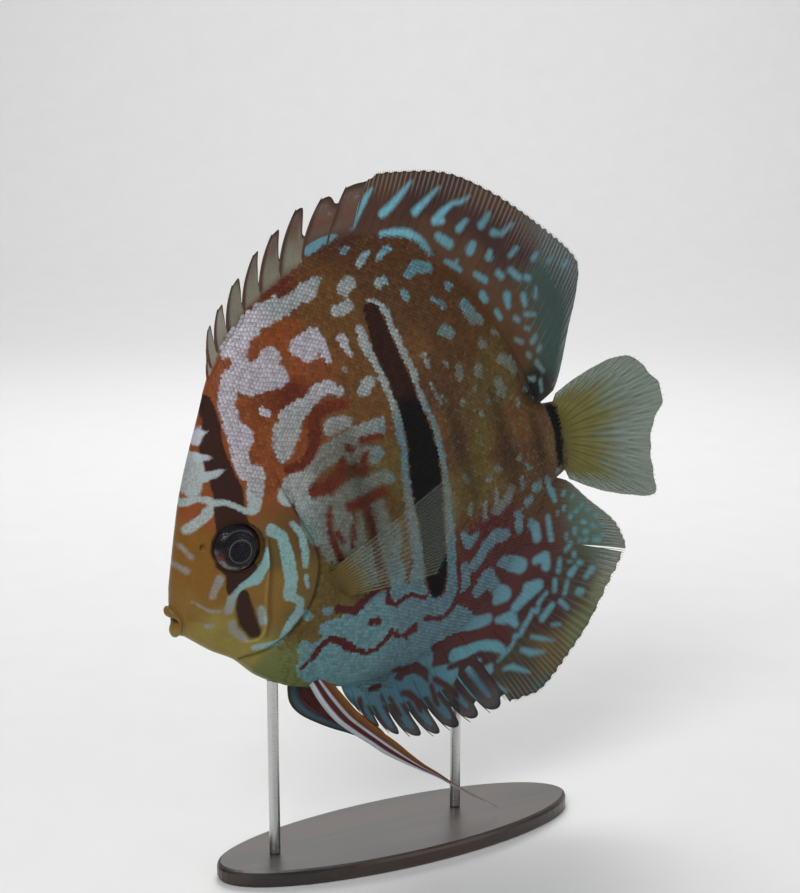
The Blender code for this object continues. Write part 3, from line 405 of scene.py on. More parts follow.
PALE_REAR: Strokes = (
    ((9.0, 24.2, 0.8), (9.4, 21.2, 0.8)),
    ((8.4, 41.6, 1.0), (8.7, 39.4, 1.0)),
    ((2.2, 45.7, 1.3), (4.0, 45.8, 1.2)),
    ((11.5, 45.3, 1.2), (15.0, 46.3, 1.7), (18.8, 44.9, 1.2)),
    ((16.5, 36.9, 0.8), (19.4, 34.2, 0.8)),
    ((22.7, 38.8, 1.1), (23.4, 38.6, 1.1)),
    ((16.8, 28.3, 1.6), (18.8, 27.2, 1.7)),
    ((14.6, 20.4, 0.6), (14.9, 19.4, 0.6)),
    ((18.5, 17.4, 1.2), (18.3, 15.0, 1.1)),
    ((24.9, 15.3, 1.4), (24.5, 14.2, 1.5)),
    ((26.3, 32.5, 1.8), (28.0, 28.3, 2.0), (30.0, 27.0, 1.4)),
    ((28.2, 21.1, 1.2), (28.7, 20.5, 1.2)),
    ((33.4, 14.8, 1.5), (36.0, 13.6, 1.7), (37.1, 10.6, 1.3)),
    ((30.3, 9.4, 1.6), (30.8, 6.7, 1.8)),
    ((33.4, 22.9, 0.9), (35.1, 21.3, 0.7)),
    ((39.0, 4.6, 0.8), (39.4, 4.2, 0.8)),
    ((35.5, 2.6, 0.7), (35.2, 0.8, 0.6)),
    ((22.0, 10.7, 0.5), (22.1, 10.2, 0.5)),
    ((17.2, 8.7, 0.6), (16.6, 7.2, 0.5)),
    ((25.3, 7.1, 0.5), (25.6, 5.8, 0.5)),
    ((22.2, 3.4, 0.6), (22.5, 2.6, 0.6)),
    ((10.4, 12.0, 0.3), (12.2, 10.4, 0.4)),
    ((8.5, 16.5, 0.3), (9.6, 12.0, 0.4), (10.3, 10.4, 0.3)),
    ((12.4, -11.4, 0.6), (12.7, -13.4, 0.6)),
    ((23.4, -13.2, 1.0), (24.4, -14.2, 0.9)),
    ((19.6, -14.8, 0.8), (20.6, -15.6, 0.7)),
    ((31.3, -13.2, 0.6), (31.8, -13.8, 0.6)),
    ((33.6, -16.0, 0.6), (34.9, -17.7, 0.6)),
    ((31.4, -19.4, 0.7), (31.0, -22.2, 0.8)),
    ((35.8, -24.0, 1.5), (37.2, -23.9, 1.4)),
    ((32.2, -27.2, 1.6), (33.2, -27.0, 1.4)),
    ((27.0, -21.0, 1.3), (24.6, -23.6, 1.6), (20.4, -25.0, 1.3)),
    ((17.2, -21.0, 0.8), (16.4, -25.4, 0.9)),
    ((22.0, -19.2, 0.8), (21.2, -22.6, 0.9)),
    ((12.6, -19.5, 0.7), (11.6, -22.0, 0.8)),
    ((40.8, -23.6, 0.9), (42.0, -26.5, 1.1), (43.5, -29.0, 1.1), (44.0, -32.0, 0.7)),
    ((44.7, -22.4, 0.6), (45.4, -22.8, 0.6)),
    ((8.8, -27.8, 1.4), (9.4, -30.6, 1.5), (12.6, -29.2, 1.0)),
    ((6.9, -36.8, 1.5), (7.0, -41.0, 1.6), (5.4, -43.4, 0.9)),
    ((9.6, -37.4, 1.7), (12.4, -36.4, 1.8), (15.2, -33.8, 1.9), (19.0, -32.0, 2.1), (22.6, -33.3, 1.7)),
    ((28.0, -29.4, 1.5), (28.2, -33.8, 1.6)),
    ((33.0, -34.0, 1.4), (35.4, -37.0, 1.6), (35.5, -40.4, 1.5)),
    ((40.5, -35.8, 0.8), (40.2, -42.8, 0.9)),
    ((20.5, -41.0, 1.8), (25.0, -44.0, 2.5), (28.3, -46.3, 2.4)),
    ((33.8, -47.0, 1.3), (37.0, -47.0, 1.7), (36.8, -50.0, 1.5)),
    ((41.7, -49.6, 0.6), (40.6, -53.0, 0.8)),
    ((10.4, -46.0, 2.0), (14.4, -43.6, 2.9), (16.0, -46.0, 2.3), (18.5, -49.5, 1.8), (21.0, -52.2, 2.4)),
    ((18.6, -53.0, 1.8), (21.5, -52.8, 2.2)),
    ((29.5, -54.2, 1.9), (33.0, -54.6, 1.8), (27.6, -56.4, 1.8), (24.0, -58.2, 1.5)),
)
PALE_LOWER: Strokes = (
    ((-40.0, -46.5, 6.6), (-31.0, -46.5, 10.4), (-18.0, -46.0, 12.0), (-9.0, -49.0, 10.0), (-1.0, -52.0, 6.6),
     (4.4, -52.6, 3.6)),
    ((-22.5, -37.0, 4.4), (-10.0, -38.0, 4.2)),
    ((-36.6, -37.2, 2.2), (-30.0, -38.0, 2.8)),
    ((-34.0, -3.0, 3.2), (-26.0, -3.4, 2.6), (-14.0, -2.6, 2.0), (-10.0, -3.4, 1.4)),
    ((-26.6, -8.0, 3.4), (-24.6, -18.0, 3.4), (-23.6, -27.0, 2.6)),
    ((-15.6, -10.0, 2.4), (-15.0, -20.0, 2.6), (-14.0, -30.0, 2.6)),
    ((-31.8, -8.0, 2.2), (-31.4, -18.0, 1.6)),
    ((-19.0, 6.0, 2.2), (-12.0, 4.2, 2.0)),
    ((-29.0, 6.6, 2.4), (-18.0, 9.8, 2.4), (-9.0, 10.2, 1.6)),
    ((3.0, -53.0, 3.4), (7.4, -56.0, 2.8), (11.0, -57.3, 2.1), (14.2, -57.6, 1.7)),
    ((-31.0, -60.0, 3.0), (-26.0, -66.0, 4.6), (-18.0, -67.0, 5.4), (-10.0, -69.6, 5.8), (-2.0, -71.0, 5.4)),
    ((-34.0, -53.0, 5.0), (-24.0, -58.0, 4.6), (-10.0, -61.0, 5.0)),
)
PALE_DORSAL: Strokes = (
    ((-1.2, 51.6, 1.0), (0.6, 52.6, 1.0), (3.2, 53.8, 0.4)),
    ((4.8, 51.6, 0.7), (8.6, 52.8, 0.7)),
    ((-4.2, 55.4, 0.8), (-3.0, 56.0, 0.8)),
    ((8.3, 56.9, 0.7), (12.0, 56.3, 1.0), (15.5, 55.2, 1.1), (18.5, 52.8, 1.1), (20.2, 50.0, 1.0), (21.0, 48.0, 0.5)),
    ((0.2, 61.2, 1.3), (3.0, 64.4, 1.3), (6.0, 66.8, 0.9), (8.6, 68.8, 0.3)),
    ((10.0, 61.8, 1.1), (13.5, 63.5, 1.0), (17.0, 65.8, 0.7), (20.2, 67.9, 0.2)),
    ((19.4, 59.8, 1.1), (23.0, 61.7, 0.8), (27.8, 64.2, 0.3)),
    ((24.8, 55.9, 1.2), (28.0, 57.8, 0.9), (31.0, 59.0, 0.6), (33.8, 58.6, 0.6), (36.8, 59.5, 0.2)),
    ((24.7, 51.6, 1.1), (27.4, 48.8, 1.4)),
    ((31.4, 51.9, 1.1), (34.2, 53.4, 0.6)),
    ((38.4, 50.9, 1.1), (41.4, 53.2, 0.7)),
    ((33.4, 45.4, 1.5), (34.4, 46.5, 1.2)),
    ((38.7, 42.0, 1.2), (39.2, 43.2, 0.8)),
    ((41.6, 48.0, 1.1), (43.2, 47.2, 0.7)),
    ((43.9, 46.9, 0.7), (47.8, 48.7, 0.5)),
    ((45.3, 40.6, 0.7), (47.6, 42.0, 0.6)),
    ((40.4, 37.0, 0.9), (41.2, 35.9, 1.0)),
    ((33.4, 38.6, 0.8), (36.0, 36.2, 0.9)),
    ((33.8, 32.6, 1.2), (34.4, 31.2, 1.1)),
    ((44.4, 36.6, 0.9), (46.6, 33.8, 0.9)),
    ((48.8, 33.3, 0.9), (49.6, 32.8, 0.8)),
    ((41.8, 30.2, 1.2), (41.5, 27.2, 0.8)),
    ((46.8, 28.6, 0.9), (46.9, 26.0, 0.7)),
    ((37.2, 26.9, 0.9), (37.9, 25.0, 0.9)),
    ((52.0, 37.6, 0.8), (53.4, 38.6, 0.7)),
    ((56.8, 35.4, 0.6), (58.2, 36.4, 0.5)),
    ((61.8, 33.0, 0.8), (63.2, 33.8, 0.7)),
    ((25.0, 44.6, 0.6), (27.0, 43.2, 0.8), (28.8, 41.2, 0.7)),
    ((28.8, 44.0, 0.3), (27.6, 42.6, 0.6)),
    ((25.8, 55.6, 1.0), (26.6, 55.4, 1.0)),
    ((43.0, 23.2, 0.8), (43.6, 22.4, 0.7)),
    ((46.4, 23.3, 0.6), (49.2, 22.4, 0.5)),
    ((45.6, 19.6, 0.5), (46.5, 19.1, 0.5)),
    ((41.4, 17.6, 0.6), (43.2, 16.2, 0.7)),
    ((46.8, 15.2, 0.8), (48.2, 16.3, 0.6)),
    ((44.3, 12.3, 0.7), (44.8, 11.6, 0.7)),
    ((48.3, 12.3, 0.7), (49.0, 13.0, 0.6)),
    ((46.8, 9.2, 0.7), (48.4, 6.0, 0.5)),
    ((42.0, 5.9, 0.6), (44.6, 5.0, 0.8)),
    ((46.9, 3.6, 0.6), (46.6, 0.6, 0.5)),
    ((50.6, 27.0, 0.5), (51.4, 29.4, 0.4)),
    ((-12.8, 58.6, 1.6), (-9.0, 60.0, 1.7), (-5.0, 60.4, 1.2)),
    ((-9.0, 61.6, 0.5), (-7.8, 64.4, 0.5), (-6.4, 67.4, 0.4)),
)
PALE_ANAL: Strokes = (
    ((2.0, -64.0, 2.1), (6.0, -64.5, 1.9), (10.0, -64.3, 1.6), (14.0, -65.6, 2.1), (16.5, -68.0, 1.4),
     (17.8, -70.0, 0.7), (15.0, -71.5, 0.3)),
    ((18.6, -69.8, 0.6), (20.5, -68.4, 0.7), (22.0, -66.6, 0.8), (24.0, -66.5, 0.8), (26.0, -64.5, 0.8),
     (28.0, -63.0, 0.8), (29.5, -61.3, 0.8), (31.0, -62.3, 0.6), (32.0, -60.0, 0.7), (34.0, -58.6, 0.6),
     (35.2, -58.0, 0.6)),
    ((6.0, -69.6, 0.6), (7.5, -68.1, 0.7), (9.0, -69.0, 0.8), (7.0, -71.0, 0.7), (6.5, -73.0, 0.8),
     (9.0, -73.6, 0.8), (11.0, -72.1, 0.8), (12.5, -72.0, 0.7), (12.0, -73.5, 0.7), (10.0, -74.0, 0.8)),
    ((3.0, -75.4, 1.0), (6.0, -79.0, 1.2), (9.4, -82.0, 0.6)),
    ((10.0, -76.0, 0.6), (12.5, -78.5, 0.8), (15.8, -81.8, 0.3)),
    ((16.4, -74.7, 0.6), (19.0, -75.0, 0.9), (21.5, -77.0, 0.8), (24.2, -79.0, 0.3)),
    ((23.4, -71.4, 0.8), (26.0, -73.4, 1.1), (30.4, -75.0, 0.4)),
    ((27.4, -68.9, 0.6), (31.0, -71.0, 0.7), (34.4, -73.2, 0.2)),
    ((35.0, -68.3, 0.5), (37.6, -69.1, 0.5)),
    ((17.8, -59.5, 1.1), (22.0, -60.4, 2.0), (23.0, -62.8, 1.2)),
    ((38.8, -55.4, 0.8), (38.0, -58.4, 0.7)),
    ((32.0, -65.1, 1.0), (34.5, -63.5, 1.1), (36.2, -62.4, 1.0)),
    ((39.3, -62.4, 0.8), (41.2, -65.2, 0.7)),
    ((42.8, -57.4, 0.7), (41.2, -60.6, 0.7)),
    ((44.6, -55.3, 1.3), (46.2, -54.2, 0.9)),
    ((44.2, -47.8, 0.6), (46.1, -46.4, 0.8)),
    ((45.2, -44.2, 0.5), (45.4, -43.2, 0.5)),
    ((48.3, -43.8, 0.6), (48.5, -42.6, 0.6)),
    ((46.7, -50.4, 0.7), (46.9, -49.6, 0.7)),
    ((47.8, -53.1, 0.9), (48.6, -53.5, 0.8)),
    ((51.6, -44.6, 0.7), (52.4, -44.9, 0.7)),
    ((51.2, -47.4, 0.6), (51.8, -46.9, 0.6)),
    ((51.6, -41.4, 0.7), (52.4, -42.0, 0.6)),
    ((54.6, -43.6, 0.7), (55.5, -44.4, 0.6)),
    ((51.8, -56.8, 1.2), (49.4, -58.3, 0.9)),
    ((54.4, -48.2, 0.8), (55.9, -48.9, 0.9)),
    ((46.0, -61.8, 1.2), (46.9, -62.3, 1.2)),
    ((44.0, -36.2, 0.4), (44.1, -35.7, 0.4)),
    ((46.3, -35.6, 0.5), (46.6, -35.0, 0.5)),
    ((47.8, -38.9, 0.6), (48.2, -38.2, 0.6)),
    ((47.2, -31.2, 0.7), (47.6, -30.7, 0.6)),
    ((49.8, -33.2, 0.5), (50.4, -32.8, 0.5)),
    ((50.2, -37.8, 0.5), (50.8, -37.4, 0.5)),
    ((52.4, -36.8, 0.5), (53.0, -36.4, 0.5)),
    ((54.2, -38.8, 0.5), (55.0, -38.6, 0.5)),
    ((56.4, -41.2, 0.5), (57.2, -41.2, 0.5)),
    ((58.0, -44.6, 0.5), (58.8, -44.8, 0.4)),
    ((57.2, -47.6, 0.5), (58.0, -48.0, 0.5)),
    ((49.2, -46.9, 0.4), (49.6, -46.2, 0.4)),
    ((45.4, -51.8, 0.4), (44.6, -51.6, 0.4)),
)
WARM_LINES: Strokes = (
    ((-44.8, 36.8, 1.2), (-42.6, 38.0, 1.0)),
    ((-36.8, 37.7, 1.2), (-34.0, 40.4, 1.6), (-29.0, 41.0, 1.6), (-24.0, 41.8, 1.8)),
    ((-36.4, 8.2, 1.1), (-33.0, 8.0, 1.4), (-30.0, 9.5, 1.5), (-27.5, 13.0, 1.6), (-26.5, 17.5, 1.6),
     (-24.5, 20.0, 1.7), (-21.0, 20.1, 1.6), (-17.5, 19.3, 1.5)),
    ((-31.6, 0.3, 1.6), (-27.0, 0.0, 1.9), (-23.6, 2.0, 1.9), (-21.8, 5.5, 1.1)),
    ((-18.8, 2.1, 1.4), (-16.8, 1.0, 1.4)),
    ((-16.0, 3.6, 1.2), (-15.0, 5.2, 0.8)),
    ((-19.4, 8.2, 1.0), (-18.8, 7.6, 1.1)),
    ((-15.3, 8.9, 1.1), (-10.0, 8.3, 1.0)),
    ((-28.3, -5.4, 0.7), (-29.5, -9.0, 0.9), (-30.0, -14.0, 0.9), (-28.4, -22.0, 0.8)),
    ((-22.6, -7.0, 1.5), (-18.5, -7.0, 1.3), (-12.8, -6.0, 1.4)),
    ((-18.0, -8.0, 0.8), (-18.2, -17.0, 0.9), (-18.6, -26.0, 0.8)),
    ((-23.4, -12.4, 0.8), (-24.6, -17.2, 0.7)),
    ((-27.9, -12.8, 0.9), (-27.4, -15.2, 0.8)),
    ((-45.2, -46.2, 0.5), (-42.0, -44.0, 0.7), (-39.0, -41.5, 0.8), (-36.0, -40.5, 0.9), (-33.5, -42.5, 1.3),
     (-31.5, -45.0, 1.3), (-29.5, -47.0, 1.0), (-27.0, -49.0, 0.8), (-24.5, -49.5, 0.6), (-21.5, -48.5, 0.7),
     (-18.5, -46.0, 0.9), (-16.2, -48.4, 0.6), (-14.5, -49.0, 0.9), (-12.0, -48.0, 1.5), (-10.9, -47.2, 0.9)),
    ((-32.5, -32.7, 1.2), (-30.0, -34.0, 1.0), (-28.0, -35.3, 1.4), (-25.0, -33.5, 1.2), (-22.0, -32.5, 1.0),
     (-19.0, -31.5, 1.0), (-17.5, -33.0, 0.7), (-18.0, -36.5, 0.8), (-16.0, -38.5, 0.8), (-13.0, -37.5, 0.8),
     (-10.5, -37.5, 0.8), (-9.0, -39.0, 0.7), (-6.5, -40.2, 0.8)),
    ((-23.6, -40.7, 1.2), (-21.9, -41.2, 1.2)),
    ((-10.7, -31.2, 0.7), (-9.1, -28.2, 0.5)),
    ((-7.4, -46.6, 0.9), (-4.5, -48.0, 0.8), (-1.5, -48.8, 0.8), (1.0, -47.5, 0.8), (3.5, -45.0, 1.2),
     (7.0, -46.0, 1.5), (8.2, -49.5, 1.6), (11.0, -50.4, 1.4)),
    ((5.1, -35.5, 0.6), (4.8, -39.2, 0.6)),
    ((-4.4, -57.8, 1.8), (2.0, -58.5, 2.3), (7.0, -60.3, 1.9), (13.0, -61.8, 1.8), (18.0, -64.0, 2.0),
     (19.6, -67.0, 1.2)),
    ((-18.4, -59.4, 0.8), (-14.5, -61.5, 2.0), (-11.0, -62.2, 1.7), (-8.5, -65.0, 1.5), (-8.0, -67.8, 0.6)),
    ((-16.9, -62.6, 1.0), (-15.8, -63.6, 0.9)),
    ((-25.0, -62.8, 1.0), (-22.8, -62.8, 1.0)),
    ((-29.0, -64.4, 0.7), (-29.0, -67.2, 0.6)),
    ((-0.6, -67.0, 0.9), (3.2, -67.3, 0.9)),
    ((-22.8, -66.0, 0.5), (-22.0, -71.0, 0.5)),
    ((-20.3, -67.8, 0.6), (-18.7, -74.0, 0.8), (-17.4, -79.4, 0.6)),
    ((-16.2, -68.2, 0.9), (-14.6, -69.0, 1.1), (-12.6, -72.0, 1.1), (-11.6, -77.0, 1.0), (-10.5, -82.2, 0.7)),
    ((-7.2, -69.8, 0.8), (-7.0, -75.0, 0.9), (-5.6, -79.0, 1.1), (-4.0, -83.2, 0.9)),
    ((-5.6, -68.4, 0.9), (-3.0, -71.5, 1.0), (-0.5, -75.0, 1.1), (1.0, -79.0, 1.2), (2.2, -83.2, 0.9)),
)
DARK_BARS: Strokes = (
    ((-50.3, 30.4, 1.2), (-51.0, 24.5, 1.9), (-53.0, 18.4, 2.8), (-52.8, 12.0, 3.1), (-52.5, 7.0, 3.7),
     (-53.6, 2.0, 3.8), (-54.0, -2.0, 4.4)),
    ((-60.2, -10.0, 0.8), (-57.2, -12.8, 1.8), (-58.6, -17.8, 1.2)),
    ((-51.8, -13.2, 1.2), (-54.5, -14.4, 1.6), (-57.0, -16.4, 1.6)),
    tuple((-54.1 + 6.7 * math.cos(k / 4), -7.2 + 6.7 * math.sin(k / 4), 0.3) for k in range(26)),
    ((-56.0, -19.8, 1.5), (-56.6, -23.0, 2.2), (-56.5, -27.0, 2.5), (-55.6, -30.6, 1.9)),
    ((-2.3, 39.6, 2.2), (-2.0, 30.0, 3.3), (-0.3, 20.0, 3.2), (0.6, 12.0, 3.3), (1.5, 5.0, 3.9), (1.2, 0.0, 4.5),
     (0.6, -5.0, 4.8), (0.2, -10.0, 4.7), (-0.4, -15.0, 4.4), (-0.8, -20.0, 3.8), (-1.3, -25.0, 3.7),
     (-1.8, -30.0, 3.6), (-2.1, -35.0, 3.4), (-2.8, -39.2, 2.4)),
    ((47.2, -3.6, 1.3), (47.4, -6.0, 1.7), (47.6, -8.4, 1.8), (47.2, -11.8, 1.3), (46.9, -15.0, 1.6),
     (46.4, -20.6, 1.0)),
    ((50.3, -5.0, 0.3), (50.9, -9.0, 0.5), (50.4, -12.4, 0.3)),
    ((50.1, -15.0, 0.2), (50.3, -19.0, 0.3)),
)
OVER_BARS: Strokes = (
    ((-56.8, 5.6, 0.8), (-54.0, 5.0, 0.7), (-52.0, 3.5, 0.7), (-50.0, 1.4, 0.7), (-47.8, 0.4, 0.8)),
    ((-56.6, 17.2, 1.1), (-54.8, 16.8, 0.7), (-53.2, 16.3, 0.1)),
    ((-56.8, 12.3, 1.3), (-54.2, 12.4, 0.9), (-51.2, 12.9, 0.1)),
    ((-55.6, 21.4, 1.2), (-54.0, 22.8, 0.8), (-52.4, 23.0, 0.1)),
    ((-60.2, -22.6, 0.8), (-58.9, -19.4, 0.8), (-55.9, -17.3, 0.7), (-52.4, -16.8, 1.4), (-49.2, -14.6, 1.0),
     (-47.4, -10.6, 0.3)),
)

# Colours of the ground, of the pale marks and of the warm lines, as (x, z, reach, tone): nearer places weigh more
GROUND_TONES = (
    (-68.0, -4.0, 7.0, Tone.ORANGE), (-62.0, -12.0, 7.0, Tone.ORANGE), (-71.0, -18.0, 5.0, Tone.OCHRE),
    (-66.0, -29.0, 6.0, Tone.CHIN), (-58.0, -37.0, 5.0, Tone.CHIN), (-48.0, -46.0, 8.0, Tone.THROAT),
    (-52.0, -22.0, 6.0, Tone.OCHRE), (-47.0, -12.0, 4.0, Tone.OLIVE), (-42.0, -34.0, 6.0, Tone.OLIVE),
    (-54.0, -41.5, 4.0, Tone.THROAT), (-60.0, 6.0, 5.0, Tone.RUST), (-50.0, 32.0, 6.0, Tone.RUST), (-40.0, 14.0, 7.0, Tone.RUST),
    (-28.0, 34.0, 9.0, Tone.RUST), (-30.0, 27.0, 6.0, Tone.RED_BROWN), (-15.0, 42.0, 9.0, Tone.AMBER),
    (-12.0, 18.0, 8.0, Tone.AMBER), (-24.0, 50.0, 5.0, Tone.RED_BROWN), (7.0, 26.0, 4.0, Tone.AMBER),
    (-8.0, -2.0, 5.0, Tone.OLIVE), (-30.0, -10.0, 7.0, Tone.BROWN), (-36.0, -24.0, 6.0, Tone.OLIVE),
    (-20.0, -6.0, 6.0, Tone.BROWN), (-18.0, -22.0, 6.0, Tone.OLIVE),
    (4.0, 47.0, 8.0, Tone.BROWN), (14.0, 40.0, 8.0, Tone.BROWN), (12.0, 16.0, 6.0, Tone.BROWN), (-46.5, -20.0, 3.0, Tone.OCHRE),
    (22.0, 22.0, 8.0, Tone.BROWN), (30.0, 34.0, 8.0, Tone.BROWN), (30.0, 14.0, 8.0, Tone.OLIVE),
    (8.6, 4.0, 3.0, Tone.AMBER), (13.0, -2.0, 5.0, Tone.BROWN), (20.0, -4.0, 6.0, Tone.OLIVE),
    (27.5, -10.0, 6.0, Tone.BROWN), (34.0, -4.0, 6.0, Tone.AMBER), (38.0, -14.0, 5.0, Tone.BROWN),
    (43.8, -7.0, 2.6, Tone.ROSE), (43.5, -14.0, 3.0, Tone.OLIVE), (9.0, -14.0, 4.0, Tone.OLIVE),
    (20.0, -16.0, 6.0, Tone.OLIVE), (20.0, -30.0, 6.0, Tone.MAROON), (36.0, -30.0, 7.0, Tone.BROWN),
    (30.0, -42.0, 9.0, Tone.MAROON), (14.0, -52.0, 9.0, Tone.MAROON), (44.0, 3.0, 4.0, Tone.NIGHT),
    (40.0, 16.0, 6.0, Tone.BROWN), (0.0, 60.0, 7.0, Tone.FIN_BROWN), (24.0, 64.0, 8.0, Tone.WINE), (22.0, 54.0, 5.0, Tone.BROWN), (2.0, 56.0, 5.0, Tone.BROWN),
    (41.0, 50.0, 7.0, Tone.WINE), (34.0, 45.0, 4.0, Tone.BROWN), (41.0, 28.0, 4.0, Tone.BROWN), (-8.0, 68.0, 8.0, Tone.FIN_BROWN), (14.0, 70.0, 8.0, Tone.FIN_BROWN),
    (44.0, 58.0, 6.0, Tone.FIN_BROWN), (58.0, 34.0, 8.0, Tone.SMOKE), (58.0, 14.0, 8.0, Tone.SMOKE),
    (50.0, 42.0, 6.0, Tone.WINE), (20.0, -76.0, 8.0, Tone.SLATE), (32.0, -76.0, 6.0, Tone.OLIVE), (6.0, -70.0, 8.0, Tone.WINE),
    (34.0, -62.0, 8.0, Tone.WINE), (46.0, -58.0, 6.0, Tone.SLATE), (60.0, -52.0, 6.0, Tone.SEA),
    (58.0, -38.0, 7.0, Tone.SEA), (44.0, -76.0, 6.0, Tone.THROAT), (55.0, -66.0, 5.0, Tone.THROAT), (28.0, -87.0, 5.0, Tone.SMOKE),
)
PALE_TONES = (
    (-60.0, 8.0, 10.0, Tone.FROST), (-46.0, 20.0, 10.0, Tone.WHITE), (-36.0, 34.0, 12.0, Tone.WHITE),
    (-20.0, 38.0, 10.0, Tone.WHITE), (-66.0, -10.0, 8.0, Tone.LILAC), (-43.0, -14.0, 8.0, Tone.AQUA),
    (-60.0, -29.0, 6.0, Tone.LILAC), (-52.0, -16.0, 5.0, Tone.AQUA), (-52.0, -36.0, 6.0, Tone.AQUA),
    (-33.0, 16.0, 7.0, Tone.FROST), (-36.0, 3.0, 6.0, Tone.FROST), (-24.0, 4.0, 8.0, Tone.MIST),
    (-24.0, 46.0, 6.0, Tone.FROST), (-8.0, 46.0, 8.0, Tone.FROST), (-20.0, -8.0, 9.0, Tone.MIST),
    (-9.0, 24.0, 7.0, Tone.FROST), (2.0, 30.0, 5.0, Tone.FROST), (-4.0, 2.0, 6.0, Tone.TEAL_GREY),
    (-30.0, -20.0, 8.0, Tone.MIST), (-30.0, -44.0, 12.0, Tone.TURQUOISE), (-8.0, -50.0, 12.0, Tone.TEAL_GREY),
    (12.0, -40.0, 12.0, Tone.TEAL_GREY), (28.0, -46.0, 12.0, Tone.TURQUOISE), (28.0, 18.0, 10.0, Tone.MIST),
    (20.0, -18.0, 8.0, Tone.MIST), (20.0, 46.0, 10.0, Tone.LAGOON), (20.0, 62.0, 12.0, Tone.SKY),
    (42.0, 40.0, 14.0, Tone.LAGOON), (10.0, -74.0, 14.0, Tone.LAGOON), (44.0, -52.0, 14.0, Tone.LAGOON),
    (-14.0, -74.0, 14.0, Tone.SEA_DEEP), (-10.0, 60.0, 8.0, Tone.TURQUOISE),
)
LINE_TONES = (
    (-36.0, 36.0, 14.0, Tone.RUST), (-28.0, 12.0, 10.0, Tone.RED_BROWN), (-22.0, 0.0, 10.0, Tone.RED_BROWN),
    (-22.0, -36.0, 16.0, Tone.MAROON), (4.0, -50.0, 16.0, Tone.MAROON), (-8.0, -74.0, 14.0, Tone.WINE),
)
BAR_TONES = (
    (-52.0, 14.0, 10.0, Tone.BAR_BROWN), (-57.0, -24.0, 8.0, Tone.BAR_BROWN), (-2.0, 36.0, 8.0, Tone.BAR_BROWN),
    (0.0, 22.0, 6.0, Tone.BAR_BROWN), (1.0, 4.0, 10.0, Tone.NIGHT), (0.0, -30.0, 16.0, Tone.NIGHT),
    (47.0, -10.0, 10.0, Tone.NIGHT),
)


class Mark(Enum):
    """The layers of markings, from the lowest to the highest."""

    PALE = 0
    LINE = 1
    BAR = 2
    OVER = 3


@dataclass
class SideMap:
    """How far each place of the side view is from the edges of the markings, on a fine grid.

    Negative inside a mark, in mm, and never more than FAR.
    """

    low_x: float = -80.0
    low_z: float = -94.0
    high_x: float = 92.0
    high_z: float = 78.0
    step: float = 0.25
    far: float = 5.0
    layers: dict = field(default_factory=dict)

    def paint(self) -> None:
        """Draws every stroke into its layer."""
        xs = np.arange(self.low_x, self.high_x, self.step)
        zs = np.arange(self.low_z, self.high_z, self.step)
        self.xs, self.zs = xs, zs
        drawn = {
            Mark.PALE: PALE_HEAD + PALE_FRONT + PALE_REAR + PALE_LOWER + PALE_DORSAL + PALE_ANAL,
            Mark.LINE: WARM_LINES,
            Mark.BAR: DARK_BARS,
            Mark.OVER: OVER_BARS,
        }
        for mark, strokes in drawn.items():
            layer = np.full((len(xs), len(zs)), self.far)
            for stroke in strokes:
                for a, b in zip(stroke, stroke[1:]):
                    self.brush(layer, np.array(a), np.array(b))
            self.layers[mark] = layer

    def brush(self, layer: np.ndarray, a: np.ndarray, b: np.ndarray) -> None:
        """Lays one piece of a stroke, from (x, z, half width) a to b, into a layer."""
        reach = max(a[2], b[2]) + self.far
        i0, i1 = np.searchsorted(self.xs, (min(a[0], b[0]) - reach, max(a[0], b[0]) + reach))
        j0, j1 = np.searchsorted(self.zs, (min(a[1], b[1]) - reach, max(a[1], b[1]) + reach))
        x, z = self.xs[i0:i1, None], self.zs[None, j0:j1]
        run = b[:2] - a[:2]
        t = np.clip(((x - a[0]) * run[0] + (z - a[1]) * run[1]) / max(float(run @ run), 1e-9), 0.0, 1.0)
        away = np.hypot(x - a[0] - run[0] * t, z - a[1] - run[1] * t) - (a[2] + (b[2] - a[2]) * t)
        layer[i0:i1, j0:j1] = np.minimum(layer[i0:i1, j0:j1], away)

    def read(self, mark: Mark, x: np.ndarray, z: np.ndarray) -> np.ndarray:
        """The distance to the edge of a layer's marks at each (x, z)."""
        layer = self.layers[mark]
        u = np.clip((x - self.low_x) / self.step, 0.0, layer.shape[0] - 1.001)
        v = np.clip((z - self.low_z) / self.step, 0.0, layer.shape[1] - 1.001)
        i, j = u.astype(int), v.astype(int)
        fu, fv = u - i, v - j
        low = layer[i, j] * (1 - fv) + layer[i, j + 1] * fv
        high = layer[i + 1, j] * (1 - fv) + layer[i + 1, j + 1] * fv
        return low * (1 - fu) + high * fu


def blended(tones: tuple, x: np.ndarray, z: np.ndarray) -> np.ndarray:
    """The colour at each (x, z) between listed tones."""
    total = np.full(len(x), 1e-9)
    colour = np.zeros((len(x), 3))
    for place_x, place_z, reach, tone in tones:
        weight = 1.0 / (0.15 + ((x - place_x) ** 2 + (z - place_z) ** 2) / reach**2) ** 2.4
        total += weight
        colour += weight[:, None] * np.array(tone.value)
    return colour / total[:, None]


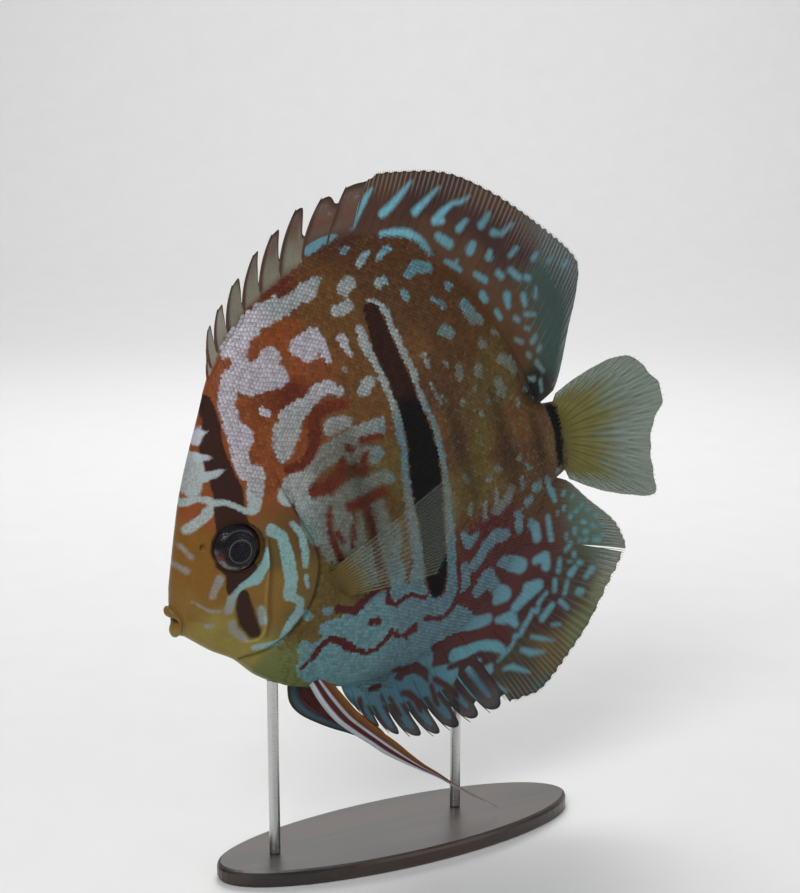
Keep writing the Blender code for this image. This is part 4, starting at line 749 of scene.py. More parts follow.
class Wiring:
    """Adds nodes to a tree and links them."""

    def __init__(self, tree: bpy.types.NodeTree) -> None:
        """Takes the tree that is wired."""
        self.tree = tree

    def add(self, kind: str, inputs: dict | None = None, **settings: object) -> bpy.types.Node:
        """Makes a node.

        Args:
            kind: The node's type, without its ShaderNode.
            inputs: Values or sockets by the input's name or number.
            settings: The node's own options.

        Returns:
            The node.
        """
        node = self.tree.nodes.new(f"ShaderNode{kind}")
        for name, value in settings.items():
            setattr(node, name, value)
        for name, value in (inputs or {}).items():
            if isinstance(value, bpy.types.NodeSocket):
                self.tree.links.new(value, node.inputs[name])
            else:
                node.inputs[name].default_value = value
        return node

    def math(self, operation: str, *values: object) -> bpy.types.NodeSocket:
        """A sum, product or other step on numbers."""
        return self.add("Math", dict(enumerate(values)), operation=operation).outputs[0]

    def step(self, low: object, high: object, value: object) -> bpy.types.NodeSocket:
        """A smooth step from 0 at low to 1 at high."""
        inputs = {"Value": value, "From Min": low, "From Max": high}
        return self.add("MapRange", inputs, interpolation_type="SMOOTHSTEP").outputs[0]

    def mix(self, factor: object, a: object, b: object, blend: str = "MIX") -> bpy.types.NodeSocket:
        """A blend of two colours."""
        return self.add("Mix", {0: factor, 6: a, 7: b}, data_type="RGBA", blend_type=blend).outputs[2]

    def attribute(self, name: str) -> bpy.types.Node:
        """A value kept at the piece's own points."""
        return self.add("Attribute", attribute_name=name)

    def noise(self, scale: float, detail: float = 2.0, rough: float = 0.5) -> bpy.types.NodeSocket:
        """Noise from 0 to 1 on the piece's own coordinates, with scale in features to the metre."""
        place = self.add("TexCoord").outputs["Object"]
        inputs = {"Vector": place, "Scale": scale, "Detail": detail, "Roughness": rough}
        return self.add("TexNoise", inputs).outputs[0]

    def bump(self, height: object, depth: float, strength: float = 1.0) -> bpy.types.NodeSocket:
        """A normal raised by a height, depth metres deep."""
        inputs = {"Height": height, "Distance": depth, "Strength": strength}
        return self.add("Bump", inputs).outputs[0]


def new_group(name: str, inputs: dict[str, object], outputs: dict[str, str]) -> tuple[Wiring, object, object]:
    """Starts a node group.

    Args:
        name: The group's name.
        inputs: Default values by name: a number, or a colour or vector of three.
        outputs: Socket types by name, without their NodeSocket.

    Returns:
        The wiring, the group's input node and its output node.
    """
    group = bpy.data.node_groups.new(name, "ShaderNodeTree")
    for label, value in inputs.items():
        kind = "Float" if isinstance(value, float) else "Vector" if len(value) == 3 else "Color"
        socket = group.interface.new_socket(name=label, in_out="INPUT", socket_type=f"NodeSocket{kind}")
        socket.default_value = value
    for label, kind in outputs.items():
        group.interface.new_socket(name=label, in_out="OUTPUT", socket_type=f"NodeSocket{kind}")
    return Wiring(group), group.nodes.new("NodeGroupInput"), group.nodes.new("NodeGroupOutput")


def markings_group() -> bpy.types.NodeTree:
    """The effect that lays the pale marks, warm lines and bars over the ground colour, with living edges, and
    multiplies in the Shade factor that carries painted shade and highlights.
    """
    black = (0.0, 0.0, 0.0, 1.0)
    w, given, made = new_group(
        "fish_markings",
        {"Ground": black, "Pale": black, "Line": black, "Bar": black, "Edges": (5.0, 5.0, 5.0), "Over": 5.0,
         "Ragged": 0.8, "Soft": 0.3, "Fleck": 0.3, "Rim": 0.0, "Shade": 1.0},
        {"Color": "Color", "Pale": "Float", "Dark": "Float"},
    )
    take = given.outputs
    edges = w.add("SeparateXYZ", {0: take["Edges"]}).outputs
    broad = w.math("SUBTRACT", w.noise(700.0, 3.0, 0.6), 0.5)
    fine = w.math("SUBTRACT", w.noise(2600.0, 2.0, 0.6), 0.5)
    stir = w.math("MULTIPLY", w.math("ADD", broad, w.math("MULTIPLY", fine, 0.8)), take["Ragged"])
    soft_low = w.math("MULTIPLY", take["Soft"], -1.0)

    def mask(distance: object, stirred: float) -> bpy.types.NodeSocket:
        """Where a layer's marks are."""
        moved = w.math("ADD", distance, w.math("MULTIPLY", stir, stirred))
        return w.math("SUBTRACT", 1.0, w.step(soft_low, take["Soft"], moved))

    fleck = w.math("MULTIPLY", w.step(0.42, 0.62, w.noise(1900.0, 2.0, 0.55)), take["Fleck"])
    # Pale marks thin out at flecks of the skin's own texture and, through Rim, towards each scale's rim: painted shade
    # between the scales.
    kept_past_fleck_and_rim_shade = w.math("SUBTRACT", 1.0, w.math("MAXIMUM", fleck, take["Rim"]))
    pale = w.math("MULTIPLY", mask(edges[0], 1.0), kept_past_fleck_and_rim_shade)
    line = mask(edges[1], 0.7)
    bar = mask(edges[2], 0.8)
    over = w.math("MULTIPLY", mask(take["Over"], 0.8), w.math("SUBTRACT", 1.0, w.math("MULTIPLY", fleck, 0.7)))
    tint = w.math("ADD", 0.66, w.math("MULTIPLY", w.noise(260.0, 4.0, 0.6), 0.36))
    tint = w.math("ADD", tint, w.math("MULTIPLY", w.noise(1400.0, 3.0, 0.7), 0.34))
    ground = w.mix(1.0, take["Ground"], w.add("CombineColor", {0: tint, 1: tint, 2: tint}).outputs[0], "MULTIPLY")
    colour = w.mix(pale, ground, take["Pale"])
    colour = w.mix(line, colour, take["Line"])
    colour = w.mix(w.math("MULTIPLY", bar, 0.97), colour, take["Bar"])
    colour = w.mix(over, colour, take["Pale"])
    # Shade holds each piece's tone, painted shade and painted highlights, multiplied into the colour.
    shade = take["Shade"]
    colour = w.mix(1.0, colour, w.add("CombineColor", {0: shade, 1: shade, 2: shade}).outputs[0], "MULTIPLY")
    left = w.math("MULTIPLY", w.math("SUBTRACT", 1.0, line), w.math("SUBTRACT", 1.0, bar))
    shown = w.math("MAXIMUM", w.math("MULTIPLY", pale, left), over)
    w.tree.links.new(colour, made.inputs["Color"])
    w.tree.links.new(shown, made.inputs["Pale"])
    w.tree.links.new(bar, made.inputs["Dark"])
    return w.tree


def new_material(name: str) -> tuple[bpy.types.Material, Wiring, bpy.types.Node]:
    """A material with its wiring and its Principled shader."""
    material = bpy.data.materials.new(name)
    material.use_nodes = True
    return material, Wiring(material.node_tree), material.node_tree.nodes["Principled BSDF"]


def markings_node(w: Wiring, group: bpy.types.NodeTree, **values: float) -> bpy.types.Node:
    """The markings effect in a material, fed from the piece's own paint."""
    node = w.add("Group")
    node.node_tree = group
    for label in ("Ground", "Pale", "Line", "Bar"):
        w.tree.links.new(w.attribute(label.lower()).outputs["Color"], node.inputs[label])
    w.tree.links.new(w.attribute("edges").outputs["Vector"], node.inputs["Edges"])
    w.tree.links.new(w.attribute("over").outputs["Fac"], node.inputs["Over"])
    w.tree.links.new(w.attribute("shade").outputs["Fac"], node.inputs["Shade"])
    w.tree.links.new(w.attribute("soft").outputs["Fac"], node.inputs["Soft"])
    for label, value in values.items():
        node.inputs[label.capitalize()].default_value = value
    return node


@dataclass(frozen=True)
class SkinFinish:
    """Wet fish skin: the markings, a silvery sheen on the pale ones, and the grain of tiny scales and pores."""

    name: str
    ragged: float = 1.0
    fleck: float = 0.36
    roughness: float = 0.46
    gloss: float = 0.15
    grain: float = 0.00006
    cell: float = 1500.0
    rimmed: bool = False

    def make(self, group: bpy.types.NodeTree) -> bpy.types.Material:
        """Builds the material."""
        material, w, shader = new_material(self.name)
        marks = markings_node(w, group, ragged=self.ragged, fleck=self.fleck)
        # On the scales the rim attribute thins the pale marks towards each scale's rim: painted shade between the
        # scales.
        if self.rimmed:
            w.tree.links.new(w.math("MULTIPLY", w.attribute("rim").outputs["Fac"], 0.8), marks.inputs["Rim"])
        pale = marks.outputs["Pale"]
        w.tree.links.new(marks.outputs["Color"], shader.inputs["Base Color"])
        mottle = w.math("MULTIPLY", w.noise(900.0, 3.0), 0.16)
        rough = w.math("ADD", self.roughness - 0.06, mottle)
        rough = w.math("ADD", rough, w.math("MULTIPLY", marks.outputs["Dark"], 0.25))
        w.tree.links.new(w.math("SUBTRACT", rough, w.math("MULTIPLY", pale, 0.05)), shader.inputs["Roughness"])
        wet = w.math("MULTIPLY", w.math("SUBTRACT", 1.0, w.math("MULTIPLY", marks.outputs["Dark"], 0.8)), self.gloss)
        w.tree.links.new(wet, shader.inputs["Coat Weight"])
        w.tree.links.new(w.math("MULTIPLY", pale, 0.15), shader.inputs["Metallic"])
        place = w.add("TexCoord").outputs["Object"]
        cells = w.add("TexVoronoi", {"Vector": place, "Scale": self.cell}, feature="SMOOTH_F1").outputs[0]
        height = w.math("ADD", w.math("MULTIPLY", cells, -0.7), w.noise(4200.0, 2.0))
        w.tree.links.new(w.bump(height, self.grain, 0.7), shader.inputs["Normal"])
        shader.inputs["Coat Roughness"].default_value = 0.2
        shader.inputs["IOR"].default_value = 1.42
        shader.inputs["Specular IOR Level"].default_value = 0.18
        return material


@dataclass(frozen=True)
class FinFinish:
    """Thin fin skin between the rays: the markings, clear towards the margin, with fine lines along the rays."""

    name: str
    ragged: float = 0.6
    opacity: float = 0.95
    streak: float = 0.3
    ray: float = 0.42
    start: tuple[float, float] = (0.34, 0.64)
    gap: float = 0.3

    def make(self, group: bpy.types.NodeTree) -> bpy.types.Material:
        """Builds the material."""
        material, w, shader = new_material(self.name)
        marks = markings_node(w, group, ragged=self.ragged, fleck=0.2)
        fan = w.add("SeparateXYZ", {0: w.attribute("fan").outputs["Vector"]}).outputs
        across = w.add("CombineXYZ", {0: w.math("MULTIPLY", fan[0], 8.0), 1: w.math("MULTIPLY", fan[1], 0.12)})
        threads = w.add("TexNoise", {"Vector": across.outputs[0], "Scale": 1.0, "Detail": 2.0}).outputs[0]
        dark = w.math("MULTIPLY", w.step(0.45, 0.75, threads), self.streak)
        wave = w.math("MULTIPLY", self.wave(w, fan[0], fan[2]), w.step(*self.start, fan[2]))
        ray = w.math("MULTIPLY", w.step(0.1, 0.9, wave), self.ray)
        gap = w.math("MULTIPLY", w.step(0.1, 0.9, w.math("MULTIPLY", wave, -1.0)), self.gap)
        colour = w.mix(w.math("MAXIMUM", dark, gap), marks.outputs["Color"], (0.012, 0.012, 0.016, 1.0))
        colour = w.mix(ray, colour, w.attribute("rays").outputs["Color"])
        w.tree.links.new(colour, shader.inputs["Base Color"])
        clear = w.attribute("clear").outputs["Fac"]
        clear = w.math("MULTIPLY", clear, w.math("SUBTRACT", 1.0, w.math("MULTIPLY", ray, 0.7)))
        kept = w.math("MULTIPLY", w.math("SUBTRACT", 1.0, clear), self.opacity)
        shown = w.math("MULTIPLY", marks.outputs["Pale"], w.math("MULTIPLY", clear, 0.35))
        veined = w.math("ADD", w.math("ADD", kept, shown), w.math("MULTIPLY", dark, 0.25))
        w.tree.links.new(w.math("MINIMUM", veined, 1.0), shader.inputs["Alpha"])
        w.tree.links.new(w.math("ADD", 0.3, w.math("MULTIPLY", threads, 0.2)), shader.inputs["Roughness"])
        w.tree.links.new(w.bump(threads, 0.00008, 0.6), shader.inputs["Normal"])
        shader.inputs["Coat Weight"].default_value = 0.1
        shader.inputs["Specular IOR Level"].default_value = 0.18
        return material

    @staticmethod
    def wave(w: Wiring, phase: object, along: object) -> bpy.types.NodeSocket:
        """A wave that peaks on the rays: one to a phase near the root, then two, then four as they branch."""
        parts = [
            w.math("COSINE", w.math("MULTIPLY", w.math("SUBTRACT", phase, shift), 2 * math.pi * count))
            for count, shift in ((1, 0.0), (2, 0.25), (4, 0.125))
        ]
        for k, (low, high) in enumerate(((0.38, 0.50), (0.68, 0.80))):
            move = w.step(low, high, along)
            kept = w.math("MULTIPLY", parts[0], w.math("SUBTRACT", 1.0, move))
            parts[0] = w.math("ADD", kept, w.math("MULTIPLY", parts[k + 1], move))
        return parts[0]


@dataclass(frozen=True)
class RayFinish:
    """Fin rays and spines: jointed bone under skin, in the colours of the fin around them."""

    name: str
    joint: float = 0.55
    roughness: float = 0.4

    def make(self, group: bpy.types.NodeTree) -> bpy.types.Material:
        """Builds the material."""
        material, w, shader = new_material(self.name)
        marks = markings_node(w, group, ragged=0.5, fleck=0.0)
        fan = w.add("SeparateXYZ", {0: w.attribute("fan").outputs["Vector"]}).outputs
        beat = w.math("SINE", w.math("MULTIPLY", fan[1], 2 * math.pi / self.joint))
        joints = w.step(0.55, 1.0, beat)
        colour = w.mix(w.math("MULTIPLY", joints, 0.25), marks.outputs["Color"], (0.02, 0.015, 0.015, 1.0))
        w.tree.links.new(colour, shader.inputs["Base Color"])
        kept = w.math("SUBTRACT", 1.0, w.attribute("clear").outputs["Fac"])
        w.tree.links.new(kept, shader.inputs["Alpha"])
        w.tree.links.new(w.math("ADD", self.roughness, w.math("MULTIPLY", joints, 0.15)), shader.inputs["Roughness"])
        w.tree.links.new(w.bump(joints, -0.00005, 0.6), shader.inputs["Normal"])
        shader.inputs["Specular IOR Level"].default_value = 0.18
        return material


@dataclass
class Piece:
    """A mesh in the making: places in the fish's frame in mm, faces, and what is painted on it."""

    name: str
    places: np.ndarray
    faces: list[np.ndarray]
    paint: dict[str, np.ndarray] = field(default_factory=dict)
    flat: np.ndarray | None = None
    patches: np.ndarray | None = None

    def turned_out(self) -> "Piece":
        """Flips the faces if they point inwards, by the sign of the volume they close."""
        volume = 0.0
        for faces in self.faces:
            a = self.places[faces[:, 0]]
            for k in range(1, faces.shape[1] - 1):
                b, c = self.places[faces[:, k]], self.places[faces[:, k + 1]]
                volume += float((a * np.cross(b, c)).sum())
        if volume < 0:
            self.faces = [faces[:, ::-1] for faces in self.faces]
        return self

    def build(self, material: bpy.types.Material, slot: str, *replaced: str) -> bpy.types.Object:
        """Makes the object, paints and dresses it, and sets it on the frame.

        Args:
            material: Its finish.
            slot: A material slot's name; not used.
            replaced: The solids that it stands for.

        Returns:
            The object.
        """
        mesh = bpy.data.meshes.new(self.name)
        mesh.vertices.add(len(self.places))
        mesh.vertices.foreach_set("co", to_world(self.places).astype(np.float32).ravel())
        sizes = np.concatenate([np.full(len(f), f.shape[1]) for f in self.faces])
        corners = np.concatenate([f.ravel() for f in self.faces])
        mesh.loops.add(len(corners))
        mesh.loops.foreach_set("vertex_index", corners.astype(np.int32))
        mesh.polygons.add(len(sizes))
        mesh.polygons.foreach_set("loop_start", (np.cumsum(sizes) - sizes).astype(np.int32))
        flat = np.zeros(len(sizes), bool) if self.flat is None else self.flat
        mesh.polygons.foreach_set("use_smooth", ~flat)
        if self.patches is not None:
            layer = mesh.uv_layers.new(name="OFBake")
            layer.data.foreach_set("uv", self.patches[corners].astype(np.float32).ravel())
        for name, values in self.paint.items():
            self.keep(mesh, name, values)
        mesh.update(calc_edges=True)
        mesh.validate()
        made = bpy.data.objects.new(self.name, mesh)
        bpy.context.scene.collection.objects.link(made)
        return set_on_frame(made, material, slot, *replaced)

    @staticmethod
    def keep(mesh: bpy.types.Mesh, name: str, values: np.ndarray) -> None:
        """Stores one painted value at the mesh's points: a number, a colour, or a vector for edges and fan."""
        if values.ndim == 1:
            mesh.attributes.new(name, "FLOAT", "POINT").data.foreach_set("value", values.astype(np.float32))
        elif name in ("edges", "fan"):
            layer = mesh.attributes.new(name, "FLOAT_VECTOR", "POINT")
            layer.data.foreach_set("vector", values.astype(np.float32).ravel())
        else:
            colour = np.column_stack((values, np.ones(len(values)))).astype(np.float32)
            mesh.attributes.new(name, "FLOAT_COLOR", "POINT").data.foreach_set("color", colour.ravel())


def set_on_frame(made: bpy.types.Object, material: bpy.types.Material, slot: str, *replaced: str) -> bpy.types.Object:
    """Gives a finished piece its material, ties it to the body, and hides the solids that it stands for."""
    made.data.materials.clear()
    made.data.materials.append(material)
    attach(made, "root")
    if replaced:
        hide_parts(*replaced)
    triangles = sum(len(p.vertices) - 2 for p in made.data.polygons)
    log.info("%s: %d triangles", made.name, triangles)
    return made


@dataclass
class Body:
    """The fish's surface: how far it stands out from the middle at each place of the side view."""

    back: Steady = Steady(BACK)
    belly: Steady = Steady(BELLY)
    half_width: Steady = Steady(HALF_WIDTH)
    widest: Steady = Steady(WIDEST_LEVEL)
    gill_lift: float = 1.0
    gill_reach: float = 9.0

    def __post_init__(self) -> None:
        """Rounds the head's lines once."""
        self.gill = rounded(GILL_EDGE, 5)
        self.crease, self.ridge = rounded(CHEEK_CREASE, 5), rounded(CHEEK_RIDGE, 5)
        self.head_side = np.vstack((self.gill, ((-64.5, -80.0), (-95.0, -80.0), (-95.0, 80.0), (-46.5, 80.0))))
        self.front = rounded(SCALED_FROM, 4)
        self.scaled_side = np.vstack((self.front, ((-58.5, -80.0), (95.0, -80.0), (95.0, 80.0), (-47.0, 80.0))))

    def flank(self, x: np.ndarray, z: np.ndarray) -> np.ndarray:
        """Half the body's plain thickness."""
        middle = self.widest(x)
        upper = z >= middle
        reach = np.maximum(np.where(upper, self.back(x) - middle, middle - self.belly(x)), 0.1)
        share = np.clip(np.abs(z - middle) / reach, 0.0, 1.0)
        power, fullness = np.where(upper, 2.0, 2.2), np.where(upper, 0.68, 0.60)
        return RIM + (self.half_width(x) - RIM) * (1 - share**power) ** fullness

    def relief(self, x: np.ndarray, z: np.ndarray) -> np.ndarray:
        """What the head's forms add: gill cover, cheek, the ring and hollow of the eye, and the nostril."""
        edge = distance_to(self.gill, x, z)
        on_head = inside(self.head_side, x, z)
        fade = np.clip(1 - z / 12.0, 0.0, 1.0) * (x < -25)
        cover = self.gill_lift * np.clip(1 - edge / self.gill_reach, 0.0, 1.0) ** 1.5 * fade * ease(0.0, 0.35, edge)
        slit = -0.5 * np.exp(-((edge / 0.8) ** 2)) * np.clip(fade * 1.6, 0.0, 1.0)
        crease, crest = distance_to(self.crease, x, z), distance_to(self.ridge, x, z)
        fold = 0.3 * np.exp(-((crest / 0.6) ** 2)) - 0.45 * np.exp(-((crease / 0.6) ** 2))
        eye = np.hypot(x - EYE_X, z - EYE_Z)
        ring = 0.35 * np.exp(-(((eye - EYE_RADIUS - 0.9) / 1.3) ** 2))
        hollow = -4.0 * (1 - ease(5.5, EYE_RADIUS + 0.2, eye))
        nose = np.hypot(x - NOSTRIL_X, z - NOSTRIL_Z)
        nostril = 0.28 * np.exp(-(((nose - 1.1) / 0.45) ** 2)) - 0.95 * (1 - ease(0.25, 0.95, nose))
        chin = 0.25 * np.exp(-(((x + 63.0) / 4.0) ** 2 + ((z + 27.0) / 2.0) ** 2))
        jaw = -0.3 * np.exp(-((distance_to(np.array(((-70.0, -22.4), (-65.5, -25.0), (-62.0, -30.5))), x, z) / 0.8) ** 2))
        return np.where(on_head, cover + fold, 0.0) + slit + ring + hollow + nostril + chin + jaw

    def out(self, x: np.ndarray, z: np.ndarray) -> np.ndarray:
        """How far the skin stands out from the middle."""
        return self.flank(x, z) + self.relief(x, z) - SKIN_INSET

    def beyond(self, x: np.ndarray, z: np.ndarray) -> np.ndarray:
        """How far a place lies outside the body's outline, on the fins' roots."""
        step = 0.5
        rise = (self.back(x + step) - self.back(x - step)) / (2 * step)
        fall = (self.belly(x + step) - self.belly(x - step)) / (2 * step)
        above = (z - self.back(x)) / np.sqrt(1 + rise**2)
        under = (self.belly(x) - z) / np.sqrt(1 + fall**2)
        return np.maximum(above, under)

    def shell(self, x: np.ndarray, z: np.ndarray) -> np.ndarray:
        """The surface that carries the scales: the flank, rounded over at its ridges, then the fins' fleshy roots."""
        over = self.beyond(x, z)
        wide = 0.9 + 1.5 * ease(-24.0, -4.0, x)
        crown = np.sqrt(np.clip(1 - np.clip((over + wide) / wide, 0.0, 1.0) ** 2, 0.0, 1.0))
        root = 0.17 + 1.9 * np.clip(1 - (over + 2.2) / 8.5, 0.0, 1.0) ** 2
        return np.maximum(self.out(x, z) * crown, root)


@dataclass
class Paint:
    """What is painted on each place: tones, the distances to the edges of the markings, and a shade factor that holds
    painted shade and highlights.
    """

    side_map: SideMap
    body: Body

    def at(self, places: np.ndarray) -> dict[str, np.ndarray]:
        """The paint at places in the fish's frame; the far side's markings wander from the near side's."""
        x, y, z = places[:, 0], places[:, 1], places[:, 2]
        deep = ease(1.5, 4.0, y) * ease(-62.0, -52.0, x)
        head = 1 - inside(self.body.head_side, x, z) * 0.75
        shift = deep * head
        u = x + shift * (1.7 * np.sin(0.13 * z + 0.6) + 0.8 * np.sin(0.31 * z + 0.1 * x))
        v = z + shift * (1.6 * np.sin(0.12 * x + 1.1) + 0.7 * np.sin(0.33 * x - 0.1 * z))
        marks = [self.side_map.read(mark, u, v) for mark in (Mark.PALE, Mark.LINE, Mark.BAR)]
        over = self.body.beyond(x, z)
        slit = distance_to(self.body.gill, x, z)
        fold = distance_to(self.body.crease, x, z)
        crest = distance_to(self.body.ridge, x, z)
        # Painted shade along the gill cover's slit and in the cheek crease, and a painted highlight along the cheek
        # ridge, multiplied into shade.
        low = np.clip(1 - z / 10.0, 0.0, 1.0) * (x < -30) * (over < 0.5)
        shade = 1 - 0.5 * low * np.exp(-((slit / 0.55) ** 2)) - 0.25 * low * np.exp(-((fold / 0.6) ** 2))
        shade = shade + 0.5 * low * np.exp(-((crest / 0.32) ** 2))
        for centre, wide in ((13.0, 2.4), (27.5, 2.8), (39.0, 1.8), (-19.0, 3.0)):
            flank = ease(-26.0, -16.0, z) * (1 - ease(2.0, 18.0, z))
            shade = shade * (1 - 0.42 * flank * np.exp(-(((x - centre + 0.06 * z) / wide) ** 2)))
        soft = 0.32 + 0.75 * np.exp(-(((x + 19.0) / 13.0) ** 2) - ((z + 5.0) / 15.0) ** 2)
        soft = soft + 0.22 * ease(6.0, 14.0, x) + 0.3 * ease(0.0, 5.0, over)
        soft = soft + 0.45 * np.exp(-(((x + 57.0) / 7.0) ** 2) - ((z + 28.0) / 6.0) ** 2)
        soft = soft + 0.3 * np.exp(-(((x + 68.0) / 6.0) ** 2) - ((z + 10.0) / 9.0) ** 2)
        yellow = ease(49.0, 50.2, x)[:, None] * (over < 3.0)[:, None]
        ground = blended(GROUND_TONES, x, z)
        return {
            "soft": soft,
            "rays": np.tile(np.array(Tone.RAY_LIGHT.value), (len(x), 1)),
            "ground": ground * (1 - yellow) + np.array(Tone.TAIL_ROOT.value) * yellow,
            "pale": blended(PALE_TONES, x, z),
            "line": blended(LINE_TONES, x, z),
            "bar": blended(BAR_TONES, x, z),
            "edges": np.column_stack(marks),
            "over": self.side_map.read(Mark.OVER, u, v),
            "shade": shade,
        }


@dataclass
class Skin:
    """One skin from the lips to the root of the tail, over head, torso and stalk."""

    body: Body
    half_ring: int = 200
    head_step: float = 0.36
    trunk_step: float = 0.92
    # Lip loops as (x, top, bottom, half width), from the head forward over the lips and into the mouth
    lips: tuple = (
        (-72.3, -17.2, -26.6, 3.9), (-72.9, -17.9, -26.5, 3.6), (-73.3, -18.2, -26.4, 3.4), (-73.9, -18.0, -26.6, 3.6),
        (-74.6, -18.5, -26.3, 3.6), (-74.9, -19.4, -25.3, 3.3), (-74.7, -20.3, -24.2, 3.0), (-74.0, -20.9, -23.1, 2.7),
        (-72.8, -21.2, -22.6, 2.5), (-71.0, -21.5, -22.4, 2.2), (-69.5, -21.7, -22.3, 1.6),
    )
    setback: float = 3.3

    def ring(self, x: float) -> np.ndarray:
        """The section at x: down the near side from the back to the belly, and up the far side."""
        turn = np.pi * np.arange(self.half_ring + 1) / self.half_ring
        xs = np.full(len(turn), x)
        middle = float(self.body.widest(np.array([x]))[0])
        top = float(self.body.back(np.array([x]))[0]) - 0.1
        bottom = float(self.body.belly(np.array([x]))[0]) + 0.1
        top, bottom = top - 2.6 * float(ease(49.6, 52.4, x)), bottom + 2.6 * float(ease(49.6, 52.4, x))
        z = middle + np.where(np.cos(turn) >= 0, top - middle, middle - bottom) * np.cos(turn)
        out = self.body.out(xs, z)
        crown = 1.3 if x < -50 else 0.9
        near_top = np.clip((z - (top - crown)) / crown, 0.0, 1.0)
        near_bottom = np.clip(((bottom + crown) - z) / crown, 0.0, 1.0)
        out = out * np.sqrt(np.clip(1 - np.maximum(near_top, near_bottom) ** 2, 0.0, 1.0))
        out = out * (1 - 0.93 * ease(46.5, 52.4, xs))
        near = np.column_stack((xs, -out, z))
        far = np.column_stack((xs, out, z))[-2:0:-1]
        return np.vstack((near, far))

    def lip_ring(self, x: float, top: float, bottom: float, half: float, back: float) -> np.ndarray:
        """One loop of the lips, bent back towards the corners of the mouth."""
        turn = np.pi * np.arange(self.half_ring + 1) / self.half_ring
        middle, tall = (top + bottom) / 2, (top - bottom) / 2
        side = np.sin(turn)
        z = middle + tall * np.sign(np.cos(turn)) * np.abs(np.cos(turn)) ** 1.1
        y = half * side**0.9
        xs = x + back * side**2
        near = np.column_stack((xs, -y, z))
        return np.vstack((near, np.column_stack((xs, y, z))[-2:0:-1]))

    def build(self, paint: Paint, material: bpy.types.Material) -> bpy.types.Object:
        """Lofts the rings, closes both ends and paints the skin."""
        loops = rounded(self.lips, 3)
        head = np.arange(-71.6, -32.0, self.head_step)
        trunk = np.arange(-32.0, TAIL_END_X + 0.2, self.trunk_step)
        tail = np.array((50.7, 51.2, 51.7, 52.1, 52.4))
        rings = []
        for k, loop in enumerate(loops[::-1]):
            share = 1 - k / (len(loops) - 1)
            rings.append(self.lip_ring(*loop, self.setback * (0.25 + 0.75 * share)))
        rings += [self.ring(float(x)) for x in (*head, *trunk, *tail)]
        first, count = len(loops), 2 * self.half_ring
        blend = self.ring(-71.6)
        for k in range(1, 5):
            weight = 1 - k / 5
            rings[first - k] = rings[first - k] * (1 - weight * 0.5) + (blend + (rings[first - k][:, :1].min() - blend[:, :1]) * (1, 0, 0)) * weight * 0.5
        places = np.vstack(rings)
        index = np.arange(len(rings) * count).reshape(len(rings), count)
        a, b = index[:-1], index[1:]
        quads = np.stack((a, b, np.roll(b, -1, axis=1), np.roll(a, -1, axis=1)), -1).reshape(-1, 4)
        hubs = np.array((places[index[0]].mean(0), places[index[-1]].mean(0)))
        places = np.vstack((places, hubs))
        n = len(places)
        mouth = np.column_stack((index[0], np.roll(index[0], -1), np.full(count, n - 2)))
        root = np.column_stack((np.roll(index[-1], -1), index[-1], np.full(count, n - 1)))
        piece = Piece("skin", places, [quads, mouth, root], paint.at(places)).turned_out()
        return piece.build(material, "skin", "head", "torso", "tail_stalk")


